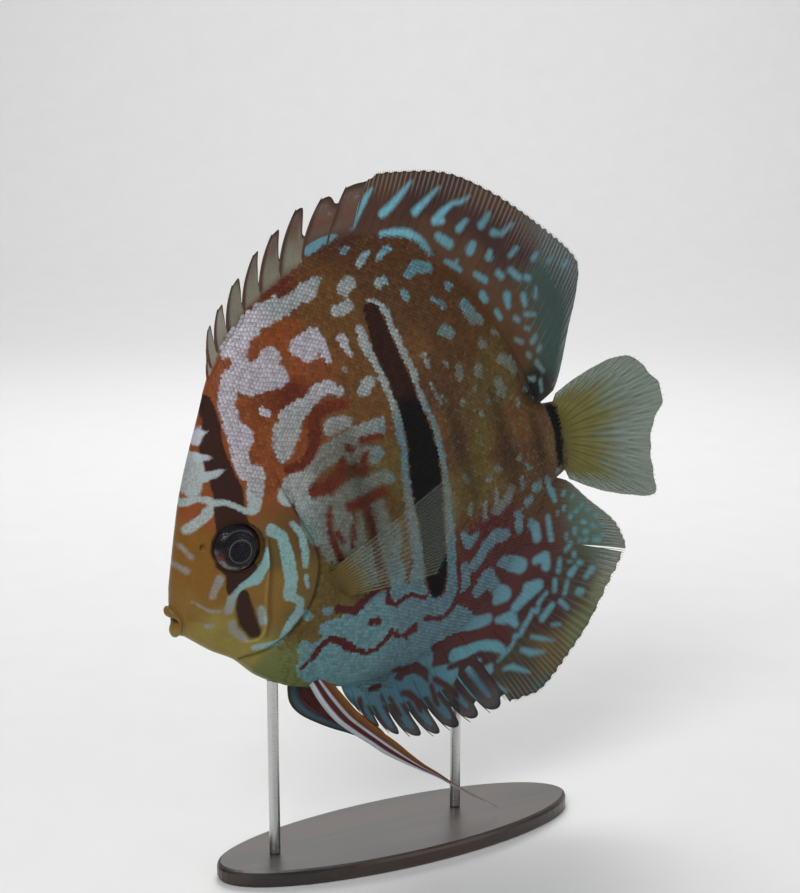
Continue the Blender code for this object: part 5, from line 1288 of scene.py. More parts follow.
@dataclass
class Scales:
    """The coat: small overlapping scales in rows over the trunk, each rooted in the skin and lifted at its rear."""

    body: Body
    pitch: float = 0.82
    row: float = 1.22
    half_length: float = 0.91
    half_height: float = 0.70
    thickness: float = 0.045
    sunk: float = 0.10
    raised: float = 0.09
    up_fin: float = 4.6
    tail_x: float = 49.4
    outline: tuple = (
        (-1.0, 0.0), (-0.8, 0.62), (-0.25, 0.98), (0.3, 0.93), (0.78, 0.58), (1.0, 0.0),
        (0.78, -0.58), (0.3, -0.93), (-0.25, -0.98), (-0.8, -0.62),
    )

    def roots(self) -> np.ndarray:
        """Places (x, z) of the scales' middles in the side view: columns whose rows keep their distance on the flank."""
        found = []
        for column, x in enumerate(np.arange(-50.5, self.tail_x, self.pitch)):
            top, bottom = float(self.body.back(np.array([x]))[0]), float(self.body.belly(np.array([x]))[0])
            above = float(0.3 * ease(-46.0, -42.0, x) + 0.7 * ease(-20.0, -6.0, x)) * float(1 - ease(38.0, 43.5, x))
            above *= self.up_fin
            under = self.up_fin * float(ease(-31.0, -26.0, x) * (1 - ease(37.0, 43.5, x)))
            z = np.linspace(bottom + 0.6 - under, top - 0.6 + above, 500)
            y = self.body.shell(np.full(500, x), z)
            arc = np.concatenate(([0.0], np.cumsum(np.hypot(np.diff(y), np.diff(z)))))
            level = float(np.interp(float(self.body.widest(np.array([x]))[0]), z, arc))
            shift = 0.5 * self.row * (column % 2)
            wanted = np.arange(-120, 120) * self.row + level + shift
            wanted = wanted[(wanted > 0) & (wanted < arc[-1])]
            heights = np.interp(wanted, arc, z)
            found.append(np.column_stack((np.full(len(heights), x), heights)))
        roots = np.vstack(found)
        return roots[inside(self.body.scaled_side, roots[:, 0], roots[:, 1])]

    def lie(self, x: np.ndarray, z: np.ndarray) -> np.ndarray:
        """The angle at which a scale lies: level along the middle, with the outline's slope at the back and belly."""
        step = 0.5
        rise = (self.body.back(x + step) - self.body.back(x - step)) / (2 * step)
        fall = (self.body.belly(x + step) - self.body.belly(x - step)) / (2 * step)
        middle = self.body.widest(x)
        v = np.where(z >= middle, (z - middle) / (self.body.back(x) - middle), (middle - z) / (middle - self.body.belly(x)))
        slope = np.where(z >= middle, rise, fall) * np.clip(v, 0, 1) ** 1.6
        return np.clip(np.arctan(slope), -0.8, 0.8)

    def grown(self, roots: np.ndarray, side: float, rng: np.random.Generator) -> tuple[np.ndarray, ...]:
        """Shapes every scale at its root.

        Args:
            roots: Places in the side view.
            side: -1 for the near side, 1 for the far side.
            rng: The source of small differences.

        Returns:
            Places by scale and point, how near each point is to its scale's rim, and each scale's middle.
        """
        count, ring = len(roots), len(self.outline)
        x, z = roots[:, 0] + rng.normal(0, 0.03, count), roots[:, 1] + rng.normal(0, 0.035, count)
        step = 0.3
        y = self.body.shell(x, z)
        along_x = (self.body.shell(x + step, z) - self.body.shell(x - step, z)) / (2 * step)
        along_z = (self.body.shell(x, z + step) - self.body.shell(x, z - step)) / (2 * step)
        along_x, along_z = np.clip(along_x, -1.5, 1.5), np.clip(along_z, -2.5, 2.5)
        normal = np.column_stack((-along_x, np.ones(count), -along_z))
        normal /= np.linalg.norm(normal, axis=1)[:, None]
        angle = self.lie(x, z) + rng.normal(0, 0.05, count)
        way = np.column_stack((np.cos(angle), np.zeros(count), np.sin(angle)))
        way -= normal * (way * normal).sum(1)[:, None]
        way /= np.linalg.norm(way, axis=1)[:, None]
        across = np.cross(normal, way)
        far_in = distance_to(self.body.front, x, z)
        small = 0.84 + 0.16 * ease(0.0, 5.0, far_in)
        small *= 1 - 0.3 * ease(36.0, self.tail_x, x)
        small *= 1 - 0.3 * ease(-1.0, self.up_fin, self.body.beyond(x, z))
        size = small * rng.uniform(0.95, 1.06, count)
        shape = np.array(self.outline)
        a = shape[:, 0][None] * self.half_length * size[:, None]
        b = shape[:, 1][None] * self.half_height * size[:, None]
        tilt = (self.raised * rng.uniform(0.8, 1.2, count) + self.sunk)[:, None]
        lift = -self.sunk + tilt * (shape[:, 0][None] + 1) / 2
        roll = rng.normal(0, 0.03, count)[:, None]
        lift = lift + roll * shape[:, 1][None]
        lift = lift * small[:, None] + 0.0 * a
        middle = np.column_stack((x, y, z))

        def at(a: np.ndarray, b: np.ndarray, h: np.ndarray) -> np.ndarray:
            """Points in each scale's own frame as places."""
            return (
                middle[:, None] + a[..., None] * way[:, None] + b[..., None] * across[:, None]
                + h[..., None] * normal[:, None]
            )

        dome = 0.016 * small[:, None]
        centre_lift = (-self.sunk + tilt * 0.55) * small[:, None] + dome
        top = at(a * 0.89, b * 0.89, lift + 0.01 * small[:, None])
        low = at(a, b, lift - self.thickness * small[:, None])
        hub = at(np.full((count, 1), 0.08), np.zeros((count, 1)), centre_lift)
        places = np.concatenate((hub, top, low), 1)
        places[..., 1] *= side
        rim = np.concatenate((np.zeros((count, 1)), np.full((count, ring), 0.55), np.ones((count, ring))), 1)
        middle[:, 1] *= side
        return places, rim, middle

    def build(self, paint: Paint, material: bpy.types.Material) -> None:
        """Makes the coat as two pieces on each side."""
        ring = len(self.outline)
        k = np.arange(ring)
        after = (k + 1) % ring
        fan = np.column_stack((np.zeros(ring, int), 1 + k, 1 + after))
        wall = np.column_stack((1 + k, 1 + ring + k, 1 + ring + after, 1 + after))
        under = np.column_stack((np.full(ring - 2, 1 + ring), 1 + ring + k[2:], 1 + ring + k[1:-1]))
        each = 1 + 2 * ring
        roots = self.roots()
        for side, word in ((-1.0, "near"), (1.0, "far")):
            rng = np.random.default_rng(11 if side < 0 else 12)
            for part, chosen in (("front", roots[:, 0] < -4.0), ("rear", roots[:, 0] >= -4.0)):
                places, rim, middle = self.grown(roots[chosen], side, rng)
                count = len(middle)
                sampled = places * 0.5 + middle[:, None] * 0.5
                painted = paint.at(sampled.reshape(-1, 3))
                tone = rng.uniform(0.74, 1.14, count)
                # Each scale is also painted lighter at its middle and darker towards its rim: painted shade between the
                # overlapping scales.
                painted["shade"] = painted["shade"] * np.repeat(tone, each) * (1.05 - 0.15 * rim.ravel())
                painted["edges"] = painted["edges"] + np.repeat(rng.normal(0, 0.2, (count, 1)), each, axis=0)
                painted["rim"] = rim.ravel()
                x, z = middle[:, 0], middle[:, 2]
                frost = 0.3 + 0.7 * ease(4.0, 12.0, x) * (1 - ease(8.0, 22.0, z)) * ease(-32.0, -24.0, z)
                frost = (np.clip(rng.normal(0.02, 0.16, count), 0, 0.45) * frost)[:, None] * (1 - rim)
                painted["ground"] += (np.array(Tone.MIST.value) - painted["ground"]) * frost.reshape(-1, 1)
                start = (np.arange(count) * each)[:, None, None]
                faces = [(f[None] + start).reshape(-1, f.shape[1]) for f in (fan, wall, under)]
                piece = Piece(f"scales_{word}_{part}", places.reshape(-1, 3), faces, painted)
                piece.patches = self.patches(places, middle, side)
                piece.flat = np.concatenate((np.zeros(count * ring * 2, bool), np.ones(count * (ring - 2), bool)))
                piece.turned_out().build(material, "skin")

    @staticmethod
    def patches(places: np.ndarray, middle: np.ndarray, side: float) -> np.ndarray:
        """A small patch for each scale at its root's place on the flank laid flat, left half near, right half far."""
        start = 0.01 if side < 0 else 0.51
        u = start + 0.48 * (middle[:, 0] + 76.0) / 132.0
        v = 0.01 + 0.98 * (middle[:, 2] + 64.0) / 122.0
        local = places - middle[:, None]
        u = u[:, None] + local[..., 0] / 1.1 * 0.0015
        v = v[:, None] + local[..., 2] / 0.9 * 0.0015
        return np.column_stack((u.ravel(), v.ravel()))


def sheet(places: np.ndarray, half: np.ndarray, thick_way: np.ndarray) -> tuple[np.ndarray, list[np.ndarray]]:
    """A thin closed form about a grid of places.

    Args:
        places: The middle surface, as rows and columns of places.
        half: Half the thickness at each place.
        thick_way: The way in which it is thick, for each place or for all.

    Returns:
        The places of both faces, and the faces.
    """
    rows, columns = half.shape
    offset = half[..., None] * thick_way
    points = np.vstack(((places - offset).reshape(-1, 3), (places + offset).reshape(-1, 3)))
    index = np.arange(rows * columns).reshape(rows, columns)
    near = np.stack((index[:-1, :-1], index[1:, :-1], index[1:, 1:], index[:-1, 1:]), -1).reshape(-1, 4)
    far = near[:, ::-1] + rows * columns
    loop = np.concatenate((index[0, :-1], index[:-1, -1], index[-1, :0:-1], index[:0:-1, 0]))
    after = np.roll(loop, -1)
    wall = np.column_stack((loop, after, after + rows * columns, loop + rows * columns))
    return points, [near, far, wall[:, ::-1]]


def tubes(paths: list[np.ndarray], radii: list[np.ndarray], way: np.ndarray, sides: int = 6) -> tuple:
    """Tapered rods along paths.

    Args:
        paths: The places along each rod.
        radii: The radius at each place.
        way: A way that no rod runs in, for laying out its section.
        sides: How many sides a rod has.

    Returns:
        The places, the faces, and the rod's own number and length reached at each place.
    """
    turn = np.arange(sides) / sides * 2 * np.pi
    points, quads, ends, fans, start = [], [], [], [], 0
    for number, (path, radius) in enumerate(zip(paths, radii)):
        run = np.gradient(path, axis=0)
        run /= np.linalg.norm(run, axis=1)[:, None]
        first = np.cross(run, way)
        first /= np.linalg.norm(first, axis=1)[:, None]
        second = np.cross(run, first)
        ring = np.cos(turn)[None, :, None] * first[:, None] + np.sin(turn)[None, :, None] * second[:, None]
        count = len(path)
        points.append((path[:, None] + ring * radius[:, None, None]).reshape(-1, 3))
        points.append(path[[0, -1]])
        index = start + np.arange(count * sides).reshape(count, sides)
        a, b = index[:-1], index[1:]
        quads.append(np.stack((a, np.roll(a, -1, 1), np.roll(b, -1, 1), b), -1).reshape(-1, 4))
        hub = start + count * sides
        ends.append(np.column_stack((np.roll(index[0], -1), index[0], np.full(sides, hub))))
        ends.append(np.column_stack((index[-1], np.roll(index[-1], -1), np.full(sides, hub + 1))))
        reached = np.concatenate(([0.0], np.cumsum(np.linalg.norm(np.diff(path, axis=0), axis=1))))
        fans.append(np.column_stack((np.full(count * sides, float(number)), np.repeat(reached, sides))))
        fans.append(np.array(((number, 0.0), (number, reached[-1]))))
        start += count * sides + 2
    return np.vstack(points), [np.vstack(quads), np.vstack(ends)], np.vstack(fans)


def branched(line: object, share: float, spread: float, past: float, root: float = 0.3, tip: float = 0.085) -> tuple:
    """One soft ray: a stem that parts in two, and then in four.

    Args:
        line: Gives places for arrays of shares across the fin and along the ray.
        share: Where the ray stands across the fin.
        spread: The step to the next ray.
        past: How far past the membrane it runs, as a share of its length.
        root: Its radius at the root.
        tip: Its radius at the tips.

    Returns:
        The paths and the radii of its pieces.
    """
    paths, radii = [], []
    for low, high, count, offsets in (
        (0.0, 0.46, 12, (0.0,)), (0.42, 0.76, 9, (-0.24, 0.24)), (0.72, 1.0 + past, 9, (-0.36, -0.13, 0.13, 0.36)),
    ):
        w = np.linspace(low, high, count)
        for offset in offsets:
            if low == 0.0:
                aside = np.zeros(count)
            elif low < 0.5:
                aside = offset * ease(0.40, 0.74, w)
            else:
                parent = 0.24 * np.sign(offset)
                aside = parent + (offset - parent) * ease(0.70, 1.0, w)
            paths.append(line(share + spread * aside, w))
            thin = root + (tip - root) * (w / (1 + past)) ** 0.8
            radii.append(thin * (1.0 if low == 0.0 else 0.82 if low < 0.5 else 0.68))
    return paths, radii


LEVEL = np.array((0.0, 1.0, 0.0))


@dataclass
class EdgeFin:
    """A fin of the back or belly: free spines with lobes of membrane, then branched soft rays."""

    name: str
    edge: Steady
    outward: float
    ends: tuple[float, float]
    spines: tuple
    rays: tuple
    margin: tuple
    bow: float
    lobe: Knots
    soft_rays: int
    paint: Paint
    root_half: float = 1.6
    sunk: float = 1.2

    def __post_init__(self) -> None:
        """Lays out the root, the rim, and which place of the rim each place of the root grows to."""
        x = np.linspace(*self.ends, 240)
        slope = np.column_stack((np.full(240, 0.5), self.edge(x + 0.25) - self.edge(x - 0.25)))
        slope /= np.linalg.norm(slope, axis=1)[:, None]
        normal = np.column_stack((-slope[:, 1], slope[:, 0]))
        line = np.column_stack((x, self.edge(x))) - normal * self.sunk * self.outward
        self.root = Along(line)
        self.rim = Along(rounded((*((s[1], s[2]) for s in self.spines), self.rays[0][1:], *self.margin)))
        guides = (*(s[:3] for s in self.spines), *self.rays)
        matches = [
            (self.root.share_near((gx, float(self.edge(np.array([gx]))[0]))), self.rim.share_near((tx, tz)))
            for gx, tx, tz in guides
        ]
        matches[0] = (0.0, matches[0][1])
        self.match = Steady(tuple(matches))
        self.last = matches[-1][0]
        self.shares = [m[0] for m in matches]

    def at(self, share: np.ndarray, w: np.ndarray) -> np.ndarray:
        """Places at a share of the root and a share of the way to the rim."""
        share, w = np.broadcast_arrays(share, w)
        root, tip = self.root(share), self.rim(self.match(share))
        run = tip - root
        aside = np.stack((run[..., 1], -run[..., 0]), -1)
        soft = ease(self.shares[len(self.spines) - 2], self.shares[len(self.spines)] + 0.05, share)
        bow = self.bow * (soft - 3.2 * (1 - soft))
        place = root + run * w[..., None] + aside * (bow * w * (1 - w))[..., None]
        y = 0.6 * np.sin(7 * math.pi * share) * w**2 * soft
        return np.stack((place[..., 0], y, place[..., 1]), -1)

    def half(self, w: np.ndarray) -> np.ndarray:
        """Half the membrane's thickness: full at the root, a film at the rim."""
        film = 0.16 - 0.10 * w
        return film + (self.root_half - film) * np.clip(1 - w / 0.32, 0.0, 1.0) ** 2

    def build(self, membrane: bpy.types.Material, bone: bpy.types.Material, slot: str, nodes: tuple[str, ...]) -> None:
        """Makes the lobes, the soft membrane, the spines and the rays."""
        self.lobes(membrane, slot, nodes[0])
        self.soft(membrane, slot, nodes[1:])
        self.spine_rods(bone, slot)
        self.ray_rods(bone, slot)

    def lobes(self, membrane: bpy.types.Material, slot: str, node: str) -> None:
        """The membrane behind each spine, cut free from the next."""
        points, faces, painted, start = [], [[], []], [], 0
        across = np.concatenate((np.linspace(0, 0.6, 11), np.linspace(0.66, 1.0, 9)))
        for k, (_, _, _, depth) in enumerate(self.spines):
            low, high = self.shares[k], self.shares[k + 1]
            scale = min(depth / (1.15 * (1 - self.lobe[-1][1])), 1.0)
            knots = [(f, 1 - (1 - r) * scale) for f, r in self.lobe]
            last = knots[-1][1]
            knots += [(0.88, last + (1 - depth - last) * 0.62), (0.95, last + (1 - depth - last) * 0.9), (1.0, 1 - depth)]
            reach = Steady(tuple(knots))(across)
            w = np.linspace(0, 1, 30)[None] * reach[:, None]
            f = across[:, None] * np.ones((1, 30))
            share = low + (high - low) * f
            places = self.at(share, w)
            ruffle = 0.35 * math.sin(2.1 * k + 0.6) * np.sin(math.pi * f) * w**2
            places[..., 1] += ruffle + 0.25 * w**2 * (-1) ** k * f
            half = self.half(w)
            p, (near, far, wall) = sheet(places, half, LEVEL)
            faces[0] += [near + start, far + start, wall + start]
            fan = np.stack((f * 2.5 + k * 5, w * 18, f * 0), -1).reshape(-1, 3)
            painted.append(self.lobe_paint(p, np.tile(f.ravel(), 2), np.tile((w / reach[:, None]).ravel(), 2), k, w))
            painted[-1]["fan"] = np.tile(fan, (2, 1))
            points.append(p)
            start += len(p)
        paint = {key: np.concatenate([p[key] for p in painted]) for key in painted[0]}
        piece = Piece(f"{self.name}_lobes", np.vstack(points), [np.vstack(faces[0])], paint)
        piece.turned_out().build(membrane, slot, node)

    def lobe_paint(self, p: np.ndarray, f: np.ndarray, v: np.ndarray, k: int, w: np.ndarray) -> dict:
        """The paint of one lobe: dark behind its spine and at its tip, with a pale line along its free edge."""
        painted = self.paint.at(p)
        w = np.tile(w.ravel(), 2)
        if self.outward > 0:
            grey, green, rust, dark, line = (
                np.array(t.value) for t in (Tone.LOBE_GREY, Tone.FIN_GREEN, Tone.LOBE_RUST, Tone.LOBE_DARK, Tone.LAGOON)
            )
            warm = ease(2.0, 6.0, k) * ease(0.35, 0.8, v) * (1 - 0.7 * ease(0.35, 0.9, f))
            warm = np.maximum(warm, ease(6.0, 7.0, k) * ease(0.3, 0.6, w))[:, None]
            inner = (grey if k < 3 else green) * (1 - warm) + rust * warm
        else:
            inner, dark, line = (np.array(t.value) for t in (Tone.LOBE_DARK, Tone.LOBE_GREEN, Tone.SEA_DEEP))
        away = (ease(0.04, 0.24, w) if self.outward > 0 and k < 7 else ease(0.30, 0.62, w))[:, None]
        tip = (ease(0.84 if self.outward > 0 else 0.92, 1.0, v) * 0.9)[:, None]
        lead = (1 - ease(0.02, 0.26, f))[:, None] * 0.85
        ground = painted["ground"] * (1 - away) + inner * away
        ground = ground + (dark - ground) * np.clip(np.maximum(tip, lead * away), 0, 1)
        painted["ground"] = ground
        painted["edges"] = painted["edges"].copy()
        if self.outward > 0:
            free = np.where((v > 0.5) & (v < 0.86), (1 - v) * 9.0 - 1.7 + 3.0 * np.abs(f - 0.72), 5.0)
            free = free if k > 3 else np.full(len(f), 5.0)
        else:
            free = np.abs(f - 0.5) * 6.0 - 1.2 + 4.0 * ease(0.82, 0.98, v) + (0.5 if k > 5 else 0.0)
            free = np.where(w > 0.4, free, 5.0)
            painted["edges"][:, 1] = painted["edges"][:, 1] + 6.0 * ease(0.6, 0.9, v)
        painted["edges"][:, 0] = np.minimum(painted["edges"][:, 0] + 6.0 * away[:, 0], free)
        painted["pale"] = painted["pale"] * (1 - away) + line * away
        painted["clear"] = 0.22 * ease(0.4, 1.0, w) * (1 - tip[:, 0])
        return painted

    def soft(self, membrane: bpy.types.Material, slot: str, nodes: tuple[str, ...]) -> None:
        """The long membrane between the soft rays, in one or two lengths."""
        start = self.shares[len(self.spines)]
        cuts = [start, self.last]
        tear = self.outward < 0
        if tear:
            cuts.insert(1, self.root.share_near((TEAR_ROOT_X, float(self.edge(np.array([TEAR_ROOT_X]))[0]))))
        step = (self.last - start) / self.soft_rays
        for part, (low, high) in enumerate(zip(cuts, cuts[1:])):
            columns = 2 + int(220 * (high - low) / (self.last - start))
            share = np.linspace(low, high, columns)[:, None]
            v = np.linspace(0, 1, 44)[None]
            phase = (share - start) / step
            between = np.abs(np.sin(np.pi * phase))
            w = v * (1 - 0.016 * between - 0.004 * np.sin(phase * 2.7) ** 2)
            if part == 0 and not tear or part == 0:
                w = w * (1 - 0.02 * (1 - ease(0.0, 1.4, phase)))
            places = self.at(share * np.ones_like(w), w)
            if tear:
                gape = TEAR_WIDTH / 2 * np.clip((w - TEAR_FROM) / (1 - TEAR_FROM), 0, 1)
                near = 1 - ease(0.0, 2.5, np.abs(share - cuts[1]) / step)
                places[..., 0] += gape * near * (1 if part else -1)
                places[..., 2] += gape * near * (0.6 if part else -0.6)
            points, faces = sheet(places, self.half(w), LEVEL)
            painted = self.paint.at(points)
            along = np.tile(w.ravel(), 2)
            fan = np.stack((phase * np.ones_like(w), w * 18, w * 0.67), -1).reshape(-1, 3)
            painted["fan"] = np.tile(fan, (2, 1))
            painted["rays"] = self.ray_tones(points)
            rear = ease(44.0, 60.0, points[:, 0])
            painted["clear"] = (0.08 + 0.3 * rear) * ease(0.5, 0.97, along)
            edge = ease(0.965, 1.0, along)
            dark = np.array((Tone.LOBE_DARK if self.outward > 0 else Tone.LOBE_GREEN).value)
            painted["ground"] += (dark - painted["ground"]) * (edge * 0.7)[:, None]
            painted["rays"] += (dark - painted["rays"]) * (edge * 0.7)[:, None]
            name = f"{self.name}_soft" + ("_rear" if part else "")
            replaced = nodes if not tear else nodes[part : part + 1]
            Piece(name, points, faces, painted).turned_out().build(membrane, slot, *replaced)

    def ray_tones(self, points: np.ndarray) -> np.ndarray:
        """The rays' colour: light tan in front, dark in the clear rear of the back fin, olive in the belly fin."""
        rear = ease(48.0, 60.0, points[:, 0])[:, None]
        behind = Tone.RAY_DARK if self.outward > 0 else Tone.OLIVE
        ahead = (Tone.RAY_LIGHT if self.outward > 0 else Tone.FIN_GREEN).value
        return np.array(ahead) * (1 - rear) + np.array(behind.value) * rear

    def spine_rods(self, bone: bpy.types.Material, slot: str) -> None:
        """The hard spines along the front of each lobe."""
        w = np.linspace(0.02, 1.0, 26)
        paths, radii = [], []
        for k in range(len(self.spines)):
            length = float(np.linalg.norm(self.rim(self.match(np.array([self.shares[k]])))[0] - self.root(self.shares[k])))
            path = self.at(np.full(26, self.shares[k]), w * (1 + 0.5 / length))
            paths.append(path)
            radii.append(0.46 - 0.36 * w**1.1)
        lengths = np.array([np.linalg.norm(np.diff(path, axis=0), axis=1).sum() for path in paths])
        points, faces, fan = tubes(paths, radii, LEVEL, 8)
        painted = self.rod_paint(points, fan, 0.85)
        dark = np.array((Tone.LOBE_DARK if self.outward > 0 else Tone.LOBE_GREEN).value)
        if self.outward > 0:
            near_tip = ease(0.7, 1.0, fan[:, 1] / lengths[fan[:, 0].astype(int)])[:, None]
            rust = np.array(Tone.LOBE_RUST.value)
            painted["ground"] = (painted["ground"] * 0.2 + rust * 0.8) * (1 - near_tip) + dark * near_tip
            painted["edges"][:] = 5.0
        else:
            painted["ground"] = painted["ground"] * 0.45 + dark * 0.55
        Piece(f"{self.name}_spines", points, faces, painted).turned_out().build(bone, slot)

    def rod_paint(self, points: np.ndarray, fan: np.ndarray, shade: float) -> dict:
        """The paint of the rays: the fin's own, a little darker."""
        painted = self.paint.at(points)
        painted["shade"] = painted["shade"] * shade
        painted["fan"] = np.column_stack((fan, np.zeros(len(fan))))
        painted["clear"] = np.zeros(len(points))
        return painted

    def ray_rods(self, bone: bpy.types.Material, slot: str) -> None:
        """The branched soft rays."""
        start = self.shares[len(self.spines)]
        step = (self.last - start) / self.soft_rays
        paths, radii = [], []
        for k in range(self.soft_rays + 1):
            share = start + step * k
            length = float(np.linalg.norm(self.rim(self.match(np.array([share])))[0] - self.root(np.array([share]))[0]))
            past = -0.06 if k == 0 else 0.15 / length
            more = branched(self.at, min(share, self.last), step * (0.55 if k == self.soft_rays else 1.0), past)
            paths += more[0]
            radii += more[1]
        points, faces, fan = tubes(paths, radii, LEVEL)
        painted = self.rod_paint(points, fan, 0.9)
        painted["edges"][:, 0] += 0.25
        light = (0.35 * ease(8.0, 20.0, self.paint.body.beyond(points[:, 0], points[:, 2])))[:, None]
        painted["ground"] = painted["ground"] * (1 - light) + self.ray_tones(points) * light
        Piece(f"{self.name}_rays", points, faces, painted).turned_out().build(bone, slot)


@dataclass
class TailFin:
    """The tail fin, fanned out from the end of the stalk with a gentle wave."""

    paint: Paint
    rays: int = 16

    def __post_init__(self) -> None:
        """Rounds the margin once."""
        self.margin = Along(rounded(CAUDAL_MARGIN))

    def at(self, share: np.ndarray, w: np.ndarray) -> np.ndarray:
        """Places at a share of the fan and a share of the way to the margin."""
        share, w = np.broadcast_arrays(share, w)
        root = np.stack((np.full(share.shape, TAIL_END_X - 1.2), -4.6 - 18.2 * share), -1)
        place = root + (self.margin(share) - root) * w[..., None]
        y = 1.8 * np.sin(2.6 * math.pi * share + 0.4) * w**2
        return np.stack((place[..., 0], y, place[..., 1]), -1)

    def dressed(self, points: np.ndarray, across: np.ndarray, along: np.ndarray) -> dict:
        """Yellow olive at the root, clearer and greyer outwards."""
        painted = self.paint.at(points)
        root, middle, edge = (np.array(t.value) for t in (Tone.TAIL_ROOT, Tone.TAIL, Tone.TAIL_EDGE))
        out = ease(0.04, 0.24, along)[:, None]
        far = ease(0.30, 0.72, along + 0.06 * np.sin(across * 40.0))[:, None]
        painted["ground"] = (root * (1 - out) + middle * out) * (1 - far) + edge * far
        painted["clear"] = 0.03 + 0.3 * ease(0.2, 0.9, along)
        painted["pale"] = np.tile(np.array(Tone.TAIL_LINE.value), (len(points), 1))
        painted["rays"] = np.array(Tone.TAIL_RAY.value) * (1 - far) + np.array(Tone.RAY_PALE.value) * far
        painted["edges"][:, 1:] = 5.0
        painted["over"][:] = 5.0
        return painted

    def build(self, membrane: bpy.types.Material, bone: bpy.types.Material) -> None:
        """Makes the membrane and the rays."""
        share, v = np.linspace(0, 1, 150)[:, None], np.linspace(0, 1, 52)[None]
        phase = share * self.rays
        between = np.abs(np.sin(np.pi * phase))
        w = v * (1 - 0.014 * between)
        places = self.at(share * np.ones_like(w), w)
        root = 0.75 + 1.5 * np.sin(np.pi * share)
        film = 0.14 - 0.085 * w
        half = film + (root - film) * np.clip(1 - w / 0.34, 0, 1) ** 2
        points, faces = sheet(places, half, LEVEL)
        across, along = np.tile((share * np.ones_like(w)).ravel(), 2), np.tile(w.ravel(), 2)
        painted = self.dressed(points, across, along)
        fan = np.stack((phase * np.ones_like(w), w * 28, w), -1).reshape(-1, 3)
        painted["fan"] = np.tile(fan, (2, 1))
        Piece("tail_membrane", points, faces, painted).turned_out().build(membrane, "tail_fin", "caudal_fin")
        paths, radii = [], []
        for k in range(self.rays + 1):
            step = 1.0 / self.rays
            inner = min(max(k * step, 0.004), 0.996)
            narrow = 0.5 if k in (0, self.rays) else 1.0
            more = branched(lambda s, w: self.at(np.clip(s, 0, 1), w), inner, step * narrow, 0.012, 0.34, 0.07)
            paths += more[0]
            radii += more[1]
        points, faces, fan = tubes(paths, radii, LEVEL)
        along = np.clip(fan[:, 1] / 14.0, 0, 1)
        painted = self.dressed(points, fan[:, 0], np.clip((points[:, 0] - 50.0) / 32.0, 0, 1))
        painted["ground"] = painted["ground"] * 0.4 + painted["rays"] * 0.6
        painted["fan"] = np.column_stack((fan, np.zeros(len(fan))))
        painted["clear"] *= 0.3
        Piece("tail_rays", points, faces, painted).turned_out().build(bone, "tail_fin")


